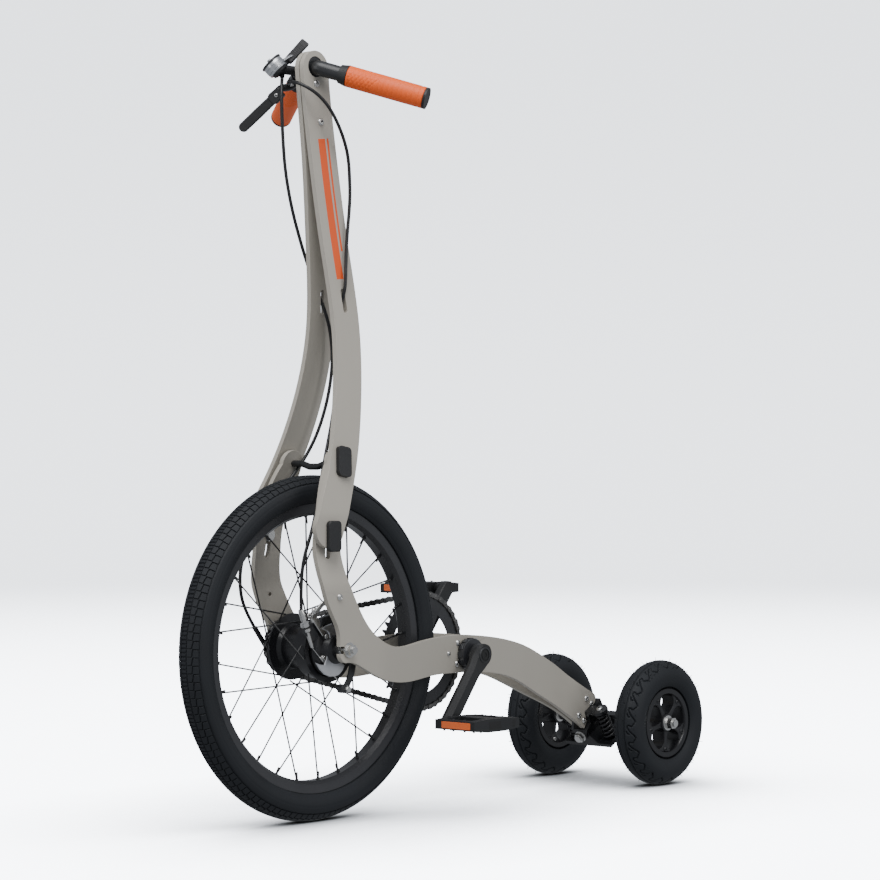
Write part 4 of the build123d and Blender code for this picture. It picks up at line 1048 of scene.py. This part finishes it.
def lever_piece():
    shape = Shape()
    clamp = on_bar(-1, 28)
    arm = arm_of(-1)
    lathe(shape, clamp - arm * 5.5, arm, [(0, 11.2), (0, 14), (0.6, 14.6), (10.4, 14.6), (11, 14),
        (11, 11.2)], 36, closed=True)
    rod(shape, bent([clamp + Vector((0, -13, -5)), clamp + Vector((1, -19, -14)),
        LEVER_PIVOT + Vector((2, 4, 9)), LEVER_PIVOT + Vector((-2, 0, -2))]), 5.6, 16)
    along = (LEVER_TIP - LEVER_PIVOT).normalized()
    wide = along.cross(VIEW_SIDE).normalized()
    face = along.cross(wide)
    body = round_outline([(-9, -8.5), (9, -9), (13, -6), (13, 6.5), (8, 9), (-9, 8)], 3)
    slab(shape, body, LEVER_PIVOT - face * 5, along, wide, 10, 1.2)
    length = (LEVER_TIP - LEVER_PIVOT).length
    slab(shape, blade_outline(length + 4, 6.8, 7.2), LEVER_PIVOT - face * 3 + along * 1, along, wide, 6.4,
        1.6)
    shape.finish = 1
    for side in (1, -1):
        button_bolt(shape, LEVER_PIVOT + face * (5 * side), face * side, 3.2, 1.8, 1, 2)
    lathe(shape, Vector((-29.5, -14.5, 1069)) + Vector((-6, 10, 0)), Vector((6.5, -11, 0.5)),
        [(0, 4.2), (9, 4.2), (10, 3.4), (15, 3.1)], 16)
    shape.piece("lever_blade", "column", ["lever_black", "steel", "socket_black"],
        ["brake_lever"], 30)


lever_piece()

DIAL = Vector((-41, -40, 1097))
DIAL_AXIS = Vector((-0.52, -0.47, 0.71)).normalized()
PADDLE_LOW = Vector((-32, -12, 1106))
PADDLE_HIGH = Vector((-25, 14, 1134))


def shifter_piece():
    shape = Shape()
    clamp = on_bar(-1, 12.5)
    arm = arm_of(-1)
    lathe(shape, clamp - arm * 4.5, arm, [(0, 11.2), (0, 13.8), (0.6, 14.3), (8.4, 14.3), (9, 13.8),
        (9, 11.2)], 36, closed=True)
    back = DIAL - DIAL_AXIS * 15
    rod(shape, [clamp + Vector((-1, -11, 2)), back + DIAL_AXIS * 4], 7.0, 20)
    lathe(shape, back, DIAL_AXIS, [(-5, 9), (-3.5, 12), (-0.5, 12.5), (0, 11)], 36)
    shape.finish = 1
    lathe(shape, back, DIAL_AXIS, [(-0.5, 13.0), (0.3, 15.2), (2.6, 15.6), (2.9, 14.6), (3.8, 14.6),
        (4.2, 15.9), (9, 16.1), (9.4, 15.2), (10, 15.2), (10.4, 16.0), (14.6, 15.6), (15, 14)], 48)
    shape.finish = 0
    lathe(shape, DIAL, DIAL_AXIS, [(-0.4, 16), (0, 17), (2.2, 17), (2.8, 16.3), (2.8, 6), (2.2, 5.6)], 48)
    shape.finish = 1
    lathe(shape, DIAL + DIAL_AXIS * 2, DIAL_AXIS, [(0, 4.6), (1.2, 4.6), (1.2, 3.6, 6), (4.6, 3.6, 6),
        (5.2, 2.8)], 24)
    stem = PADDLE_LOW - (DIAL - DIAL_AXIS * 10)
    wide = Vector((0.55, -0.35, 0.75))
    wide = (wide - stem.normalized() * wide.dot(stem.normalized())).normalized()
    shape.finish = 1
    bracket = round_outline([(-3, -9), (stem.length * 0.45, -8), (stem.length + 6, -5),
        (stem.length + 6, 5), (stem.length * 0.45, 8), (-3, 9)], 3)
    slab(shape, bracket, DIAL - DIAL_AXIS * 10 - stem.normalized().cross(wide) * 2, stem, wide, 4, 0.8)
    shape.finish = 2
    grip_axis = (PADDLE_HIGH - PADDLE_LOW).normalized()
    wide = grip_axis.cross(VIEW_SIDE).normalized()
    length = (PADDLE_HIGH - PADDLE_LOW).length - 1.2
    blade = round_outline([(-6, -6.2), (length, -6.8), (length, 6.8), (-6, 6.2)], 2.4)
    slab(shape, blade, PADDLE_LOW + grip_axis.cross(wide) * -3.4, grip_axis, wide, 6.8, 1.4)
    for k in range(9):
        ridge = PADDLE_LOW + grip_axis * (2 + 3.2 * k)
        for face in (1, -1):
            slab(shape, [(-0.7, -5), (0.7, -5), (0.7, 5), (-0.7, 5)],
                ridge + grip_axis.cross(wide) * (3.1 * face), grip_axis * face, wide, 0.7, 0.25)
    shape.finish = 0
    lathe(shape, Vector((-36, -24, 1084)), Vector((6, -7.5, -17)),
        [(-9, 5.0), (-1, 5.0), (0, 4.2), (7, 3.4)], 18)
    shape.piece("shifter_body", "column", ["black_plastic", "aluminium", "paddle_black"],
        ["shifter"], 30)


shifter_piece()


# Drum brake fittings
ADJUSTER_TOP = Vector((40, -61, 306))
ADJUSTER_LOW = Vector((43, -42, 254))
WIRE_END = Vector((51, 8, 199))
ARM_CLAMP = Vector((52, 11, 192))


def brake_fittings():
    silver = Shape()
    along = (ADJUSTER_LOW - ADJUSTER_TOP).normalized()
    lathe(silver, ADJUSTER_TOP, along, [(-3, 3.4), (0, 4.2), (3, 4.6), (12, 4.9), (14, 4.2)], 24)
    lathe(silver, ADJUSTER_TOP + along * 20, along, [(-3, 6.6), (-1.6, 7.2, 6), (2.2, 7.2, 6), (3, 6.2)], 36)
    lathe(silver, ADJUSTER_TOP + along * 25, along, [(0, 4.0), (1, 5.8), (5, 5.8), (7, 3.6), (9, 3.1),
        (26, 3.0), (30, 2.5), (31, 1.2)], 24)
    rod(silver, [ADJUSTER_LOW, WIRE_END], 0.9, 8)
    rod(silver, [WIRE_END, ARM_CLAMP + Vector((1, 3, -5))], 0.9, 8)
    lathe(silver, ARM_CLAMP + Vector((3.5, 3, 0)), (1, 0, 0), [(-9, 4.4), (0, 4.4), (0.5, 5.6), (1.4, 5.6),
        (1.4, 4.9, 6), (6, 4.9, 6), (6.6, 4.0)], 24)
    silver.finish = 1
    horn = [(-29.8, 280.4), (-22, 284.8), (-9.7, 287.6), (-2.5, 279.5), (2.2, 267), (1.2, 250),
        (-2.5, 239.5), (7, 233), (16.9, 225.9), (13.5, 219), (5.5, 212.8), (-3.5, 210.6), (-13, 211.1),
        (-24, 215.2), (-33.5, 222.5), (-41.5, 233), (-33.5, 230.2), (-24.5, 229), (-20.5, 238),
        (-16.2, 253), (-13.6, 266), (-15.5, 273.5), (-20.5, 277.6)]
    slab(silver, horn, (47.4, 0, 0), (0, 1, 0), (0, 0, 1), 3.2, 0.9)
    silver.finish = 0
    for y, z in ((-15.8, 269.1), (-22.8, 238.2)):
        lathe(silver, (44, y, z), (1, 0, 0), [(0, 4.3), (2.6, 4.3), (3, 3.9), (3, 3.6, 6), (5.6, 3.6, 6),
            (6, 3.0)], 24)
    button_bolt(silver, (50, -44.8, 306.8), (1, -0.1, 0), 5.2, 3.4, 0, 2)
    button_bolt(silver, (47.5, -52.5, 301.0), (1, -0.3, 0), 3.6, 2.4, 0, 2)
    rod(silver, [(49, -50.5, 296.5), (50, -46.5, 291)], 2.4, 12)
    silver.piece("brake_fittings", "chassis", ["steel", "aluminium", "socket_black"], sharp=30)

    black = Shape()
    arm = bent([(52.2, 24.5, 241), (52.4, 28.2, 228), (52.6, 25.8, 215), (52.8, 19.2, 202),
        (53, 11.0, 191)], 5)
    widths = [6.6, 6.4, 6.0, 5.6, 5.3, 5.2]
    eased = [(-1, 0.8), (-1, 2.9), (-0.82, 3.7), (0.82, 3.7), (1, 2.9), (1, 0.8), (0.82, 0), (-0.82, 0)]
    sections = []
    for i, here in enumerate(arm):
        after = arm[min(i + 1, len(arm) - 1)]
        before = arm[max(i - 1, 0)]
        ahead = (after - before).normalized()
        wide = ahead.cross(Vector((1, 0, 0))).normalized()
        half = widths[min(len(widths) - 1, i * len(widths) // len(arm))]
        sections.append([here + wide * (half * a) + Vector((b, 0, 0)) for a, b in eased])
    loft(black, sections)
    lathe(black, (44.5, 24, 236), (1, 0, 0), [(0, 6), (11.8, 6), (12.4, 5.4), (12.4, 3, 6), (11.6, 3, 6)], 24)
    lathe(black, ARM_CLAMP + Vector((-4, -2, 1)), (1, 0, 0), [(0, 6.6), (9, 6.6), (9.6, 6)], 24)
    bracket = round_outline([(-33, 281), (-29, 296), (-12, 300), (-3, 291), (-9, 283), (-22, 287)], 3)
    slab(black, bracket, (40.5, 0, 0), (0, 1, 0), (0, 0, 1), 9, 0.9)
    tab = round_outline([(-60, 277), (-52, 290), (-34, 286), (-28, 270), (-40, 262)], 4)
    slab(black, tab, (39.0, 0, 0), (0, 1, 0), (0, 0, 1), 4.5, 0.8)
    black.piece("brake_arm_black", "chassis", ["black_metal"], ["brake_arm"], 30)


brake_fittings()


# Cables: their line is a smooth curve through the part's own route points
CABLE_RADIUS = 2.5
BRAKE_ROUTE = [(-29.5, -14.5, 1069), (-23, -25.5, 1069.5), (-13, -33, 1069), (-1, -37, 1067),
    (11, -36, 1063.5), (22, -30.5, 1057.5), (30.5, -21.5, 1049.5), (35, -10, 1039.5), (37, 2, 1027),
    (37, 14, 1012.5), (34.5, 26, 998), (31, 37, 984), (27.5, 46, 970), (24.5, 52.5, 954), (22.5, 56, 934),
    (22, 57.5, 911), (22, 56, 887), (22.5, 52, 860), (23.5, 48.5, 833), (25.5, 45, 806), (28, 42, 786),
    (27.8, 40.5, 769), (21, 41, 752), (15, 41.4, 735), (14, 40.5, 704), (17, 36, 660), (22, 27, 618),
    (28, 13, 575), (32.5, -3, 534), (37.5, -18, 495), (45, -35, 452), (51, -52, 416), (48, -64, 383),
    (42.5, -64.5, 343), (40, -61, 305)]
SHIFT_ROUTE = [(-36, -24, 1080), (-30, -31.5, 1063), (-27, -34, 1040), (-27, -33, 1012), (-29, -29, 980),
    (-31.5, -23, 947), (-32, -16, 915), (-31.5, -6.5, 880), (-31, 6, 846), (-31, 20.5, 812), (-30, 32, 788),
    (-27.8, 38.6, 770), (-21, 40.4, 755), (-15.2, 44.6, 737), (-14, 53, 711), (-14, 58, 670),
    (-17, 53.5, 620), (-24, 40.5, 568), (-34, 26.5, 532), (-38.5, 9.5, 509), (-39.5, -10, 489),
    (-42, -32, 464), (-46.5, -55, 438), (-50, -77, 409), (-52, -91, 375), (-52.5, -94, 343),
    (-57, -82, 309), (-64, -53.5, 279.5)]


def cable_piece(name, route, replaced):
    """Round cable along a smooth curve through its route points."""
    curve = bpy.data.curves.new(f"{name}_line", "CURVE")
    curve.dimensions = "3D"
    curve.bevel_depth = CABLE_RADIUS * MM
    curve.bevel_resolution = 4
    curve.resolution_u = 6
    curve.use_fill_caps = True
    spline = curve.splines.new("NURBS")
    spline.points.add(len(route) - 1)
    for point, place in zip(spline.points, route):
        point.co = (*spot(*place), 1)
    spline.order_u = 3
    spline.use_endpoint_u = True
    line = new_object(f"{name}_line", curve)
    bpy.context.view_layer.update()
    mesh = bpy.data.meshes.new_from_object(line.evaluated_get(bpy.context.evaluated_depsgraph_get()))
    bpy.data.objects.remove(line)
    mesh.materials.clear()
    mesh.materials.append(FINISH["cable_black"])
    mesh.polygons.foreach_set("use_smooth", [True] * len(mesh.polygons))
    made = new_object(name, mesh)
    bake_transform(made)
    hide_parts(replaced)


cable_piece("brake_cable_housing", BRAKE_ROUTE, "brake_cable")
cable_piece("shift_cable_housing", SHIFT_ROUTE, "shift_cable")


# Plain orange band where the near column plate carries colour
BAND_LOW = 785.0
BAND_HIGH = 988.0
COLUMN_POINTS = ((5.5, 1042), (15.3, 967), (30, 848), (39.5, 775))


def column_middle(z):
    """Middle of the column plate at a height."""
    for (y0, z0), (y1, z1) in zip(COLUMN_POINTS, COLUMN_POINTS[1:]):
        if z1 <= z <= z0:
            return y0 + (y1 - y0) * (z0 - z) / (z0 - z1)
    return COLUMN_POINTS[-1][0]


def colour_band():
    """Two raised-ink stripes that follow the plate's outer face."""
    shape = Shape()
    for low, high, start, end in ((-9.0, 5.0, BAND_LOW, BAND_HIGH), (8.5, 12.0, BAND_LOW + 40, BAND_HIGH)):
        rows = 26
        sections = []
        for k in range(rows + 1):
            z = start + (end - start) * k / rows
            ring = []
            for offset, proud in ((low, -0.2), (low, 0.12), (high, 0.12), (high, -0.2)):
                place, normal = outer_face("column_plate_left", 1, column_middle(z) + offset,
                    z + offset * 0.11)
                ring.append(place + Vector((proud, 0, 0)))
            sections.append(ring)
        loft(shape, sections)
    shape.piece("column_band", "column", ["band_ink"])


colour_band()


# Stage: a bright floor and surround that only the camera sees. The floor carries painted shadow: its glow
# darkens where something stands close.
FLOOR_RADIUS = 30.0
FLOOR_GLOW = 9.0
FAR_GLOW = 3.1
TOP_GLOW = 2.7
SHADOW_REACH = 0.5


def glow_material(name, low_height, high_height, low_glow, high_glow, shaded):
    """Plain pale light that changes slowly with height or distance; when shaded, painted shadow darkens it
    where something stands close.
    """
    made = bpy.data.materials.new(name)
    made.use_nodes = True
    tree = made.node_tree
    tree.nodes.remove(tree.nodes["Principled BSDF"])
    place = add_node(tree, "TexCoord", {}).outputs["Object"]
    reach = add_node(tree, "VectorMath", {})
    reach.operation = "LENGTH"
    tree.links.new(place, reach.inputs[0])
    split = add_node(tree, "SeparateXYZ", {"Vector": place})
    fade = add_node(tree, "MapRange", {"From Min": low_height, "From Max": high_height, "To Min": low_glow,
        "To Max": high_glow, "Value": reach.outputs["Value"] if shaded else split.outputs["Z"]})
    fade.interpolation_type = "SMOOTHSTEP"
    strength = fade.outputs["Result"]
    if shaded:
        # Painted shadow: the glow is multiplied by how open the floor is around it, so it darkens near
        # things.
        painted_shadow_ao = add_node(tree, "AmbientOcclusion", {"Distance": SHADOW_REACH})
        painted_shadow_ao.samples = 24
        painted_shadow = add_node(tree, "Math", {})
        painted_shadow.operation = "POWER"
        painted_shadow.inputs[1].default_value = 3.4
        tree.links.new(painted_shadow_ao.outputs["AO"], painted_shadow.inputs[0])
        product = add_node(tree, "Math", {})
        product.operation = "MULTIPLY"
        tree.links.new(painted_shadow.outputs["Value"], product.inputs[0])
        tree.links.new(strength, product.inputs[1])
        strength = product.outputs["Value"]
    glow = add_node(tree, "Emission", {"Color": (0.90, 0.94, 1.0, 1), "Strength": strength})
    tree.links.new(glow.outputs["Emission"], tree.nodes["Material Output"].inputs["Surface"])
    return made


def stage_piece(name, points, faces, finish):
    mesh = bpy.data.meshes.new(name)
    mesh.from_pydata(points, [], faces)
    mesh.polygons.foreach_set("use_smooth", [True] * len(mesh.polygons))
    mesh.materials.append(finish)
    made = new_object(name, mesh)
    made.visible_diffuse = False
    made.visible_glossy = False
    made.visible_transmission = False
    made.visible_shadow = False


def dome_mesh(radius, sides=48, rows=24):
    points = []
    faces = []
    for k in range(rows + 1):
        rise = math.pi * (k / rows - 0.5) * 0.98
        for i in range(sides):
            turn = 2 * math.pi * i / sides
            points.append((radius * math.cos(rise) * math.cos(turn),
                radius * math.cos(rise) * math.sin(turn), radius * math.sin(rise)))
    for k in range(rows):
        for i in range(sides):
            j = (i + 1) % sides
            faces.append((k * sides + i, k * sides + j, (k + 1) * sides + j, (k + 1) * sides + i))
    return points, faces


stage_piece("floor", [(-FLOOR_RADIUS, -FLOOR_RADIUS, 0), (FLOOR_RADIUS, -FLOOR_RADIUS, 0),
    (FLOOR_RADIUS, FLOOR_RADIUS, 0), (-FLOOR_RADIUS, FLOOR_RADIUS, 0)], [(0, 1, 2, 3)],
    glow_material("floor", 0.4, 8.0, FLOOR_GLOW, FAR_GLOW, True))
stage_piece("surround", *dome_mesh(FLOOR_RADIUS * 1.6), glow_material("surround", 0.0, 9.0, FAR_GLOW,
    TOP_GLOW, False))

world = bpy.data.worlds.new("studio")
bpy.context.scene.world = world
world.use_nodes = True
world.node_tree.nodes["Background"].inputs["Color"].default_value = (0.90, 0.94, 1.0, 1)
world.node_tree.nodes["Background"].inputs["Strength"].default_value = 0.42


def softbox(name, place, aim, width, height, power):
    data = bpy.data.lights.new(name, "AREA")
    data.shape = "RECTANGLE"
    data.size = width
    data.size_y = height
    data.energy = power
    light = new_object(name, data)
    light.location = place
    light.rotation_mode = "QUATERNION"
    light.rotation_quaternion = (Vector(aim) - Vector(place)).to_track_quat("-Z", "Y")
    return light


softbox("key", (1.0, -1.4, 3.2), (0, 0, 0.4), 2.4, 2.4, 92)
softbox("side", (3.2, 0.9, 1.6), (0, 0, 0.5), 1.6, 2.2, 30)
softbox("strip", (-0.4, -3.2, 1.4), (0, 0, 0.5), 0.8, 2.4, 16)
